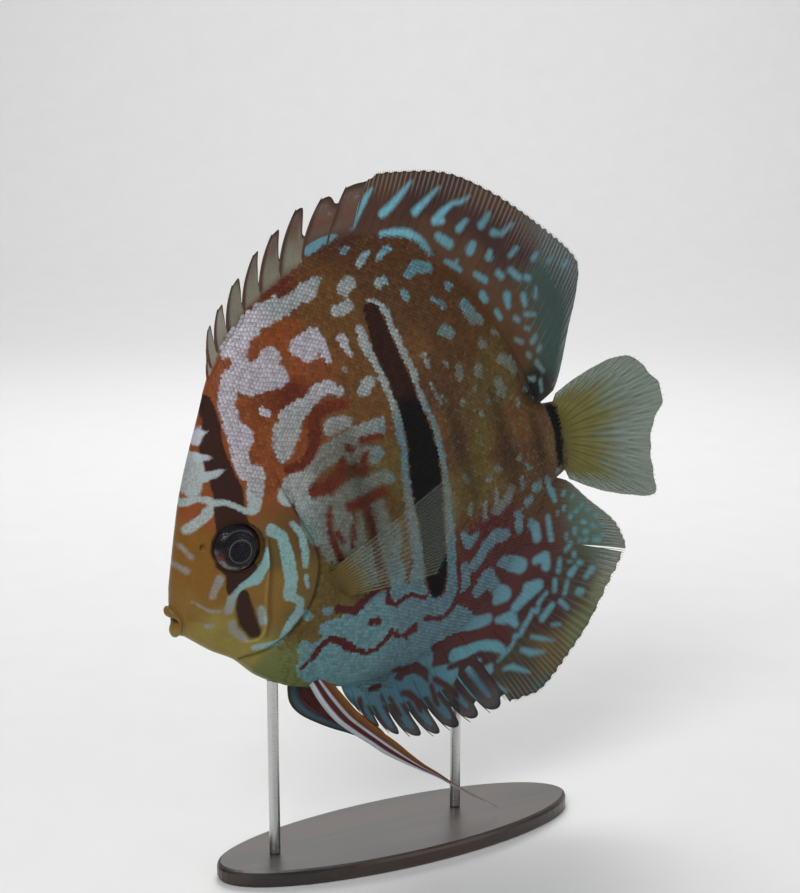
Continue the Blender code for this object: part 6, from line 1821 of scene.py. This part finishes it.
@dataclass
class PectoralFin:
    """A clear side fin behind the gill cover, with fine rays."""

    side: float
    paint: Paint
    rays: int = 13

    def __post_init__(self) -> None:
        """Sets the fin's own axes."""
        x, z = PECTORAL_BASE
        out = float(self.paint.body.flank(np.array([x]), np.array([z]))[0])
        self.origin = np.array((x, self.side * (out - 0.15), z))
        lifted = np.array((math.cos(PECTORAL_LIFT), 0.0, math.sin(PECTORAL_LIFT)))
        self.length_way = lifted * math.cos(PECTORAL_SPLAY) + np.array((0, self.side * math.sin(PECTORAL_SPLAY), 0))
        self.across_way = np.array((-math.sin(PECTORAL_LIFT), 0.0, math.cos(PECTORAL_LIFT)))
        self.thick_way = np.cross(self.length_way, self.across_way) * self.side

    def at(self, share: np.ndarray, w: np.ndarray) -> np.ndarray:
        """Places at a share of the fan and a share of the way to the margin."""
        share, w = np.broadcast_arrays(np.clip(share, 0, 1), w)
        angle = np.radians(9.0 - 34.0 * share)
        reach = 41.0 - 15.0 * share**1.6
        root = np.stack((0 * share, 4.2 - 8.4 * share), -1)
        tip = np.stack((reach * np.cos(angle), root[..., 1] * 0.6 + reach * np.sin(angle)), -1)
        run = tip - root
        aside = np.stack((run[..., 1], -run[..., 0]), -1)
        flat = root + run * w[..., None] + aside * (0.05 * w * (1 - w))[..., None]
        cup = 2.4 * np.sin(math.pi * share) * w**2 + 0.5 * np.sin(3.2 * math.pi * share) * w**3
        dip = self.side * (1 - ease(0.0, 0.07, w)) * (1.5 + 0.6 * np.cos(2 * math.pi * share))
        return (
            self.origin + flat[..., :1] * self.length_way + flat[..., 1:] * self.across_way
            + cup[..., None] * self.thick_way - dip[..., None] * LEVEL
        )

    def dressed(self, points: np.ndarray, along: np.ndarray) -> dict:
        """An ochre root, painted darker towards the body, and a clear veil beyond."""
        painted = self.paint.at(points)
        root, veil = (np.array(t.value) for t in (Tone.TAN, Tone.VEIL))
        out = ease(0.10, 0.32, along)[:, None]
        painted["ground"] = root * (1 - out) + veil * out
        painted["clear"] = 0.02 + 0.90 * ease(0.10, 0.32, along)
        # Darker towards the root: partly the root's own olive, partly painted shade where the fin meets the body.
        painted["shade"] = 0.62 + 0.42 * ease(0.0, 0.18, along)
        painted["rays"] = np.tile(np.array(Tone.FIN_GREEN.value), (len(points), 1))
        painted["edges"][:] = 5.0
        painted["over"][:] = 5.0
        return painted

    def build(self, membrane: bpy.types.Material, bone: bpy.types.Material) -> None:
        """Makes the membrane and the rays."""
        word = "left" if self.side < 0 else "right"
        share, v = np.linspace(0, 1, 110)[:, None], np.linspace(0, 1, 48)[None]
        between = np.abs(np.sin(np.pi * share * self.rays))
        w = v * (1 - 0.012 * between - 0.02 * np.sin(share * 9.0) ** 2)
        places = self.at(share * np.ones_like(w), w)
        film = 0.085 - 0.045 * w
        half = film + (1.1 - film) * np.clip(1 - w / 0.17, 0, 1) ** 1.7
        points, faces = sheet(places, half, self.thick_way)
        painted = self.dressed(points, np.tile(w.ravel(), 2))
        fan = np.stack((share * self.rays * np.ones_like(w), w * 30, w * 0.65), -1).reshape(-1, 3)
        painted["fan"] = np.tile(fan, (2, 1))
        piece = Piece(f"pectoral_membrane_{word}", points, faces, painted)
        piece.turned_out().build(membrane, "pectoral_fin", f"pectoral_fin_{word}")
        paths, radii = [], []
        for k in range(self.rays + 1):
            step = 1.0 / self.rays
            narrow = 0.5 if k in (0, self.rays) else 1.0
            more = branched(self.at, k * step, step * narrow, 0.008, 0.27, 0.045)
            paths += more[0]
            radii += more[1]
        points, faces, fan = tubes(paths, radii, self.thick_way)
        along = (points - self.origin) @ self.length_way / 40.0
        painted = self.dressed(points, along)
        painted["clear"] *= 0.93
        painted["ground"] += (np.array(Tone.RAY_PALE.value) - painted["ground"]) * ease(0.1, 0.3, along)[:, None] * 0.5
        painted["fan"] = np.column_stack((fan, np.zeros(len(fan))))
        Piece(f"pectoral_rays_{word}", points, faces, painted).turned_out().build(bone, "pectoral_fin")


@dataclass
class PelvicFin:
    """A belly fin: a narrow blade of a few rays that runs out into a long thread."""

    side: float
    front: Knots
    rear: Knots
    lean: float
    bands: tuple
    paint: Paint

    def __post_init__(self) -> None:
        """Rounds both edges once."""
        self.leading, self.trailing = Along(rounded(self.front)), Along(rounded(self.rear))

    def at(self, across: np.ndarray, share: np.ndarray) -> np.ndarray:
        """Places at a share from the front edge to the rear one and a share of the length."""
        across, share = np.broadcast_arrays(across, share)
        ahead, behind = self.leading(share), self.trailing(share)
        narrow = 1 - 0.72 * ease(0.62, 0.80, share)
        place = ahead + (behind - ahead) * (0.5 + (across - 0.5) * narrow)[..., None]
        bulge = 0.9 * np.sin(math.pi * across) * (1 - share) + 0.5 * np.sin(7 * share) * share * (1 - share)
        y = self.side * (2.8 + self.lean * share + bulge)
        return np.stack((place[..., 0], y, place[..., 1]), -1)

    def dressed(self, points: np.ndarray, across: np.ndarray, share: np.ndarray) -> dict:
        """Bands of colour that run the length of the fin."""
        painted = self.paint.at(points)
        places = np.array([b[0] for b in self.bands])
        near = np.stack([np.array(b[1].value) for b in self.bands])
        far = np.stack([np.array(b[2].value) for b in self.bands])
        a = np.stack([np.interp(across, places, near[:, c]) for c in range(3)], -1)
        b = np.stack([np.interp(across, places, far[:, c]) for c in range(3)], -1)
        away = ease(0.35, 0.8, share)[:, None]
        painted["ground"] = a * (1 - away) + b * away
        painted["edges"][:] = 5.0
        painted["over"][:] = 5.0
        painted["clear"] = 0.12 * ease(0.2, 0.8, np.sin(np.pi * across))
        painted["rays"] = painted["ground"] * 1.25
        return painted

    def build(self, membrane: bpy.types.Material, bone: bpy.types.Material) -> None:
        """Makes the blade and its rays."""
        word = "left" if self.side < 0 else "right"
        across, share = np.linspace(0, 1, 34)[:, None], np.linspace(0, 1, 120)[None]
        places = self.at(across * np.ones_like(share), share * np.ones_like(across))
        half = (0.22 + 0.5 * np.clip(1 - share / 0.12, 0, 1) ** 2) * (1 - 0.45 * share) * np.ones_like(across)
        half = half * (0.55 + 0.45 * np.sin(np.pi * across) ** 0.5) * (1 - 0.5 * ease(0.6, 0.9, share))
        points, faces = sheet(places, half, LEVEL)
        a = np.tile((across * np.ones_like(share)).ravel(), 2)
        s = np.tile((share * np.ones_like(across)).ravel(), 2)
        painted = self.dressed(points, a, s)
        painted["fan"] = np.column_stack((a * 3, s * 55, a * 0))
        piece = Piece(f"pelvic_membrane_{word}", points, faces, painted)
        piece.turned_out().build(membrane, "pelvic_fin", f"pelvic_fin_{word}")
        paths, radii = [], []
        for k in range(7):
            s = np.linspace(0.0, 1.0 - 0.05 * (k % 3), 60)
            paths.append(self.at(np.full(60, k / 6), s))
            radii.append((0.36 if k == 0 else 0.26) * (1 - 0.72 * s))
        points, faces, fan = tubes(paths, radii, LEVEL)
        painted = self.dressed(points, np.clip(fan[:, 0] / 6, 0, 1), np.clip(fan[:, 1] / 68.0, 0, 1))
        painted["clear"] *= 0
        painted["fan"] = np.column_stack((fan, np.zeros(len(fan))))
        Piece(f"pelvic_rays_{word}", points, faces, painted).turned_out().build(bone, "pelvic_fin")


def build_fins(paint: Paint, marks: bpy.types.NodeTree) -> None:
    """Every fin."""
    body = paint.body
    membrane = FinFinish("fin_skin").make(marks)
    bone = RayFinish("fin_bone").make(marks)
    dorsal = EdgeFin(
        "dorsal", body.back, 1.0, (-48.6, 45.2), DORSAL_SPINES, DORSAL_RAYS, DORSAL_MARGIN, 0.09, LEADING, 31, paint
    )
    dorsal.build(membrane, bone, "fin", ("dorsal_fin_spines", "dorsal_fin_middle", "dorsal_fin_rear"))
    anal = EdgeFin(
        "anal", body.belly, -1.0, (-33.2, 44.4), ANAL_SPINES, ANAL_RAYS, ANAL_MARGIN, -0.09, ROUNDED, 29, paint
    )
    anal.build(membrane, bone, "fin", ("anal_fin_spines", "anal_fin_middle", "anal_fin_rear"))
    TailFin(paint).build(FinFinish("tail_skin", streak=0.35, start=(0.02, 0.2), gap=0.45).make(marks), RayFinish("tail_bone", 0.8).make(marks))
    veil = FinFinish("pectoral_skin", opacity=0.85, streak=0.3, ray=0.2, start=(0.01, 0.08), gap=0.22).make(marks)
    fine = RayFinish("pectoral_bone", 0.5).make(marks)
    blade, rod = FinFinish("pelvic_skin", opacity=1.0, streak=0.4).make(marks), RayFinish("pelvic_bone", 1.2).make(marks)
    for side in (-1.0, 1.0):
        PectoralFin(side, paint).build(veil, fine)
    near = (
        (0.0, Tone.FROST, Tone.WHITE), (0.14, Tone.WHITE, Tone.WHITE), (0.22, Tone.MAROON, Tone.MAROON),
        (0.44, Tone.MAROON, Tone.RED_BROWN), (0.5, Tone.WHITE, Tone.WHITE), (0.58, Tone.FROST, Tone.RED_BROWN),
        (0.64, Tone.RED_BROWN, Tone.RED_BROWN),
        (1.0, Tone.ORANGE, Tone.ORANGE),
    )
    far = (
        (0.0, Tone.SLATE, Tone.SEA_DEEP), (0.14, Tone.SEA_DEEP, Tone.MAROON), (0.26, Tone.MAROON, Tone.MAROON),
        (0.7, Tone.RED_BROWN, Tone.RED_BROWN), (1.0, Tone.OCHRE, Tone.ORANGE),
    )
    PelvicFin(-1.0, NEAR_PELVIC_FRONT, NEAR_PELVIC_REAR, 4.2, near, paint).build(blade, rod)
    PelvicFin(1.0, FAR_PELVIC_FRONT, FAR_PELVIC_REAR, 3.4, far, paint).build(blade, rod)


@dataclass(frozen=True)
class IrisFinish:
    """The painted eye under its clear cornea: pupil, thin pale ring, dark iris, and a painted silver glint on the lower
    left of its rim.
    """

    name: str = "iris_paint"

    def make(self) -> bpy.types.Material:
        """Builds the material from the eye's own places, in shares of its radius."""
        material, w, shader = new_material(self.name)
        place = w.add("SeparateXYZ", {0: w.attribute("fan").outputs["Vector"]}).outputs
        radius = w.math("SQRT", w.math("ADD", w.math("POWER", place[0], 2.0), w.math("POWER", place[1], 2.0)))
        level = w.math("ADD", place[1], PUPIL_LOW / EYE_RADIUS)
        inner = w.math("SQRT", w.math("ADD", w.math("POWER", place[0], 2.0), w.math("POWER", level, 2.0)))
        angle = w.math("ARCTAN2", place[1], place[0])
        spokes = w.add("CombineXYZ", {0: w.math("MULTIPLY", angle, 9.0), 1: w.math("MULTIPLY", radius, 3.0)})
        grain = w.add("TexNoise", {"Vector": spokes.outputs[0], "Scale": 1.4, "Detail": 4.0, "Roughness": 0.65})
        grain = grain.outputs[0]
        broad = w.noise(420.0, 3.0)
        dark, brown, glint_silver = (0.008, 0.008, 0.012, 1.0), (0.035, 0.02, 0.018, 1.0), (0.29, 0.27, 0.245, 1.0)
        iris = w.mix(w.step(0.46, 0.72, grain), dark, brown)
        # A painted glint: a silver crescent on the lower left of the rim, also made a little metallic.
        low_left = w.math("ADD", w.math("MULTIPLY", place[0], -0.55), w.math("MULTIPLY", place[1], -0.83))
        glint_crescent = w.math("MULTIPLY", w.step(0.20, 0.62, low_left), w.step(0.72, 0.84, radius))
        glint_crescent = w.math("MULTIPLY", glint_crescent, w.step(0.30, 0.55, broad))
        iris = w.mix(w.math("MULTIPLY", glint_crescent, 0.85), iris, glint_silver)
        above = w.math("ADD", w.math("MULTIPLY", place[1], 0.95), w.math("MULTIPLY", place[0], 0.2))
        arc = w.math("MULTIPLY", w.step(0.68, 0.71, radius), w.math("SUBTRACT", 1.0, w.step(0.73, 0.79, radius)))
        iris = w.mix(w.math("MULTIPLY", arc, w.step(0.3, 0.5, above)), iris, (0.06, 0.066, 0.08, 1.0))
        fleck_left = w.step(0.62, 0.72, w.math("MULTIPLY", place[0], -1.0))
        fleck_right = w.step(0.70, 0.80, place[0])
        level = w.math("SUBTRACT", 1.0, w.step(0.10, 0.26, w.math("ABSOLUTE", w.math("ADD", place[1], 0.1))))
        flecks = w.math("MULTIPLY", w.math("MAXIMUM", fleck_left, fleck_right), level)
        iris = w.mix(w.math("MULTIPLY", flecks, 0.8), iris, (0.10, 0.022, 0.016, 1.0))
        edge = w.step(0.95, 1.0, radius)
        iris = w.mix(edge, iris, (0.006, 0.005, 0.006, 1.0))
        ring = w.math("MULTIPLY", w.step(0.43, 0.46, inner), w.math("SUBTRACT", 1.0, w.step(0.475, 0.505, inner)))
        iris = w.mix(w.math("MULTIPLY", ring, 0.7), iris, (0.13, 0.13, 0.125, 1.0))
        pupil = w.math("SUBTRACT", 1.0, w.step(0.385, 0.405, inner))
        colour = w.mix(pupil, iris, (0.003, 0.004, 0.010, 1.0))
        w.tree.links.new(colour, shader.inputs["Base Color"])
        shine = w.math("MULTIPLY", w.math("MAXIMUM", glint_crescent, ring), 0.6)
        w.tree.links.new(shine, shader.inputs["Metallic"])
        w.tree.links.new(w.math("SUBTRACT", 0.5, w.math("MULTIPLY", pupil, 0.2)), shader.inputs["Roughness"])
        w.tree.links.new(w.bump(grain, 0.00002, 0.4), shader.inputs["Normal"])
        shader.inputs["Specular IOR Level"].default_value = 0.1
        return material


@dataclass(frozen=True)
class CorneaFinish:
    """The clear, wet front of the eye."""

    name: str = "cornea_clear"

    def make(self) -> bpy.types.Material:
        """Builds the material."""
        material, w, shader = new_material(self.name)
        shader.inputs["Base Color"].default_value = (1.0, 1.0, 1.0, 1.0)
        shader.inputs["Transmission Weight"].default_value = 1.0
        shader.inputs["IOR"].default_value = 1.2
        w.tree.links.new(w.math("ADD", 0.07, w.math("MULTIPLY", w.noise(300.0), 0.05)), shader.inputs["Roughness"])
        return material


@dataclass(frozen=True)
class WoodFinish:
    """Dark stained wood with a satin varnish."""

    name: str = "stand_wood_dark"

    def make(self) -> bpy.types.Material:
        """Builds the material, with the grain running the length of the base."""
        material, w, shader = new_material(self.name)
        place = w.add("TexCoord").outputs["Object"]
        stretched = w.add("Mapping", {"Vector": place, "Scale": (9.0, 150.0, 150.0)}).outputs[0]
        figure = w.add("TexNoise", {"Vector": stretched, "Scale": 1.0, "Detail": 6.0, "Distortion": 0.7}).outputs[0]
        fine = w.add("Mapping", {"Vector": place, "Scale": (60.0, 2600.0, 2600.0)}).outputs[0]
        pores = w.add("TexNoise", {"Vector": fine, "Scale": 1.0, "Detail": 2.0}).outputs[0]
        colour = w.mix(w.step(0.35, 0.7, figure), (0.010, 0.005, 0.003, 1.0), (0.040, 0.017, 0.009, 1.0))
        colour = w.mix(w.math("MULTIPLY", w.step(0.55, 0.75, pores), 0.5), colour, (0.008, 0.004, 0.003, 1.0))
        w.tree.links.new(colour, shader.inputs["Base Color"])
        w.tree.links.new(w.math("ADD", 0.32, w.math("MULTIPLY", figure, 0.14)), shader.inputs["Roughness"])
        w.tree.links.new(w.bump(pores, 0.00006, 0.5), shader.inputs["Normal"])
        shader.inputs["Coat Weight"].default_value = 0.35
        shader.inputs["Coat Roughness"].default_value = 0.2
        return material


@dataclass(frozen=True)
class SteelFinish:
    """Steel rod, brushed round its length."""

    name: str = "stand_steel_brushed"

    def make(self) -> bpy.types.Material:
        """Builds the material."""
        material, w, shader = new_material(self.name)
        place = w.add("TexCoord").outputs["Object"]
        round_way = w.add("Mapping", {"Vector": place, "Scale": (500.0, 500.0, 9000.0)}).outputs[0]
        brushed = w.add("TexNoise", {"Vector": round_way, "Scale": 1.0, "Detail": 2.0}).outputs[0]
        colour = w.mix(brushed, (0.50, 0.50, 0.50, 1.0), (0.68, 0.68, 0.66, 1.0))
        w.tree.links.new(colour, shader.inputs["Base Color"])
        w.tree.links.new(w.math("ADD", 0.2, w.math("MULTIPLY", brushed, 0.2)), shader.inputs["Roughness"])
        w.tree.links.new(w.bump(brushed, 0.00002, 0.5), shader.inputs["Normal"])
        shader.inputs["Metallic"].default_value = 1.0
        return material


def only(made: bpy.types.Object) -> None:
    """Selects one object and nothing else, and makes it active."""
    bpy.ops.object.select_all(action="DESELECT")
    made.select_set(True)
    bpy.context.view_layer.objects.active = made


def settled(made: bpy.types.Object) -> None:
    """Puts an object's place, turn and size into its mesh."""
    only(made)
    bpy.ops.object.transform_apply(location=True, rotation=True, scale=True)


def world_place(x: float, y: float, z: float) -> tuple[float, float, float]:
    """One place of the fish's frame in the stand's, in metres."""
    return tuple(float(v) for v in to_world(np.array([[x, y, z]], float))[0])


@dataclass
class Eye:
    """An eyeball in its socket, its clear cornea, and the soft lid round it."""

    side: float
    depth: float = 3.2
    pupil: float = 2.5

    @property
    def word(self) -> str:
        """The side's name."""
        return "left" if self.side < 0 else "right"

    def ball(self, depth: float, radius: float, name: str) -> bpy.types.Object:
        """A flattened ball that looks out of the socket."""
        bpy.ops.object.select_all(action="DESELECT")
        bpy.ops.mesh.primitive_uv_sphere_add(
            segments=72, ring_count=48, radius=radius * MM, rotation=(math.pi / 2 * -self.side * -1, 0.0, 0.0)
        )
        made = bpy.context.object
        made.name = made.data.name = name
        settled(made)
        made.scale = (1.0, depth / radius, 1.0)
        settled(made)
        return made

    def place(self, made: bpy.types.Object, out: float) -> None:
        """Leans the finished form with the fish and moves it to its socket."""
        made.rotation_euler = (0.0, -LEAN, 0.0)
        made.location = world_place(EYE_X, self.side * out, EYE_Z)
        settled(made)
        bpy.ops.object.shade_smooth()

    def build(self, iris: bpy.types.Material, cornea: bpy.types.Material, lid: bpy.types.Material, paint: Paint) -> None:
        """Makes the three pieces of the eye."""
        ball = self.ball(self.depth, EYE_RADIUS, f"eyeball_{self.word}")
        points = np.empty(len(ball.data.vertices) * 3, np.float32)
        ball.data.vertices.foreach_get("co", points)
        points = points.reshape(-1, 3) / MM
        away = np.hypot(points[:, 0], points[:, 2])
        fronts = points[:, 1] * self.side > 0
        flat = 0.55 * (1 - ease(3.0, 5.6, away)) * fronts
        from_pupil = np.hypot(points[:, 0], points[:, 2] + PUPIL_LOW)
        bulge = 0.4 * np.sqrt(np.clip(1 - (from_pupil / (self.pupil + 0.1)) ** 2, 0, 1)) * fronts
        layer = ball.data.attributes.new("fan", "FLOAT_VECTOR", "POINT")
        shares = np.column_stack((points[:, 0] * 1.0, points[:, 2], np.zeros(len(points)))) / EYE_RADIUS
        layer.data.foreach_set("vector", shares.astype(np.float32).ravel())
        points[:, 1] += self.side * (bulge - flat)
        ball.data.vertices.foreach_set("co", (points * MM).astype(np.float32).ravel())
        self.place(ball, EYE_OUT)
        set_on_frame(ball, iris, "iris", f"eye_{self.word}")
        dome = self.ball(self.depth + 0.32, EYE_RADIUS - 0.12, f"cornea_{self.word}")
        self.place(dome, EYE_OUT)
        set_on_frame(dome, cornea, "iris")
        self.lid(lid, paint)

    def lid(self, finish: bpy.types.Material, paint: Paint) -> None:
        """The soft ring of skin that holds the eye."""
        around, tube = 96, 14
        turn = np.arange(around) / around * 2 * np.pi
        roll = np.arange(tube) / tube * 2 * np.pi
        t, r = np.meshgrid(turn, roll, indexing="ij")
        thick = 0.27 + 0.08 * np.sin(t) ** 2 + 0.03 * np.sin(5 * t)
        reach = EYE_RADIUS + 0.12 + thick * np.cos(r) * 1.2
        x, z = EYE_X + reach * np.cos(t), EYE_Z + reach * np.sin(t)
        base = paint.body.out(
            EYE_X + (EYE_RADIUS + 0.15) * np.cos(t), EYE_Z + (EYE_RADIUS + 0.15) * np.sin(t)
        )
        y = base - 0.25 + thick * np.sin(r)
        places = np.stack((x, self.side * y, z), -1).reshape(-1, 3)
        index = np.arange(around * tube).reshape(around, tube)
        quads = np.stack(
            (index, np.roll(index, -1, 0), np.roll(np.roll(index, -1, 0), -1, 1), np.roll(index, -1, 1)), -1
        ).reshape(-1, 4)
        painted = paint.at(places)
        # The lid is painted darker than the skin around it: painted shade round the eye's socket.
        painted["shade"] = painted["shade"] * 0.7
        piece = Piece(f"eye_lid_{self.word}", places, [quads], painted)
        piece.turned_out().build(finish, "skin")


@dataclass
class Stand:
    """The base and the two rods, carried over from the solids with finer finishes."""

    def build(self, nodes: dict) -> None:
        """Dresses the stand's solids."""
        wood, steel = WoodFinish().make(), SteelFinish().make()
        for name, node in nodes.items():
            if name.startswith("stand_"):
                finish = wood if "base" in name else steel
                for slot in node.material_slots:
                    slot.material = finish


@dataclass
class Studio:
    """A pale sweep, soft lights and the camera."""

    width: float = 6.0

    def build(self) -> None:
        """Builds the sweep, the lights and the camera."""
        self.sweep()
        self.light("key", (-0.65, -0.55, 0.80), 0.5, 6.9)
        self.light("fill", (0.55, -0.95, 0.35), 0.7, 1.7)
        self.light("rim", (0.25, 0.60, 0.75), 0.5, 3.0)
        self.light("wall", (0.5, 0.8, 1.9), 1.0, 24.0, (0.85, 1.7, 0.35))
        bpy.context.scene.view_settings.view_transform = "Standard"
        world = bpy.data.worlds.new("studio_air")
        bpy.context.scene.world = world
        world.use_nodes = True
        background = world.node_tree.nodes["Background"]
        background.inputs["Color"].default_value = (0.92, 0.95, 1.0, 1.0)
        background.inputs["Strength"].default_value = 0.2
        self.camera()

    def sweep(self) -> None:
        """A floor that curves up into a wall behind, seen from the camera."""
        bpy.ops.object.select_all(action="DESELECT")
        bpy.ops.mesh.primitive_plane_add(size=1.0)
        floor = bpy.context.object
        floor.name = floor.data.name = "studio_sweep"
        turn = math.radians(VIEW_AZIMUTH)
        away = np.array((-math.sin(turn), math.cos(turn), 0.0))
        floor.scale = (self.width, 3.0, 1.0)
        floor.rotation_euler = (0.0, 0.0, turn)
        floor.location = tuple(away * -0.4)
        settled(floor)
        bpy.ops.object.mode_set(mode="EDIT")
        bpy.ops.mesh.select_all(action="DESELECT")
        bpy.ops.object.mode_set(mode="OBJECT")
        for vertex in floor.data.vertices:
            vertex.select = float(np.dot(vertex.co, away)) > 1.0
        for edge in floor.data.edges:
            edge.select = all(floor.data.vertices[v].select for v in edge.vertices)
        bpy.ops.object.mode_set(mode="EDIT")
        for k in range(19):
            rise = math.radians(min(5.0 + 5.0 * k, 90.0))
            step = 0.06 if k < 18 else 2.2
            way = away * math.cos(rise) * step
            bpy.ops.mesh.extrude_region_move(
                TRANSFORM_OT_translate={"value": (float(way[0]), float(way[1]), math.sin(rise) * step)}
            )
        bpy.ops.mesh.select_all(action="SELECT")
        bpy.ops.mesh.normals_make_consistent(inside=True)
        bpy.ops.object.mode_set(mode="OBJECT")
        bpy.ops.object.shade_smooth()
        material, w, shader = new_material("studio_paper")
        colour = w.mix(w.noise(40.0, 3.0), (0.70, 0.70, 0.69, 1.0), (0.74, 0.74, 0.73, 1.0))
        w.tree.links.new(colour, shader.inputs["Base Color"])
        shader.inputs["Roughness"].default_value = 0.85
        floor.data.materials.append(material)

    def light(
        self, name: str, place: tuple[float, float, float], size: float, power: float,
        target: tuple[float, float, float] = (0.0, 0.0, FISH_HEIGHT * MM),
    ) -> None:
        """A soft square light that faces a target, the fish unless told otherwise."""
        lamp = bpy.data.lights.new(f"studio_{name}", "AREA")
        lamp.shape, lamp.size, lamp.energy = "SQUARE", size, power
        made = bpy.data.objects.new(f"studio_{name}", lamp)
        made.location = place
        aim = np.array(target) - np.array(place)
        aim /= np.linalg.norm(aim)
        made.rotation_euler = (math.acos(-aim[2]), 0.0, math.atan2(-aim[0], aim[1]))
        bpy.context.scene.collection.objects.link(made)

    def camera(self) -> None:
        """The camera at the photograph's angle and framing."""
        view = bpy.data.cameras.new("view_front")
        view.lens, view.sensor_width = LENS, 36.0
        view.clip_start, view.clip_end = 0.01, 20.0
        made = bpy.data.objects.new("view_front", view)
        turn, rise = math.radians(VIEW_AZIMUTH), math.radians(VIEW_ELEVATION)
        back = np.array((math.sin(turn) * math.cos(rise), -math.cos(turn) * math.cos(rise), math.sin(rise)))
        made.location = np.array(AIM) * MM + back * VIEW_DISTANCE
        made.rotation_euler = (math.pi / 2 - rise, 0.0, turn)
        bpy.context.scene.collection.objects.link(made)
        bpy.context.scene.camera = made


def main() -> None:
    """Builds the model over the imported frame."""
    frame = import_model()
    side_map = SideMap()
    side_map.paint()
    body = Body()
    paint = Paint(side_map, body)
    marks = markings_group()
    Studio().build()
    Stand().build(frame["nodes"])
    skin = SkinFinish("skin_wet").make(marks)
    coat = SkinFinish("scale_wet", roughness=0.5, gloss=0.08, fleck=0.3, grain=0.00002, cell=3000.0, rimmed=True).make(marks)
    Skin(body).build(paint, skin)
    Scales(body).build(paint, coat)
    iris, cornea = IrisFinish().make(), CorneaFinish().make()
    for side in (-1.0, 1.0):
        Eye(side).build(iris, cornea, skin, paint)
    build_fins(paint, marks)


if __name__ == "__main__":
    main()
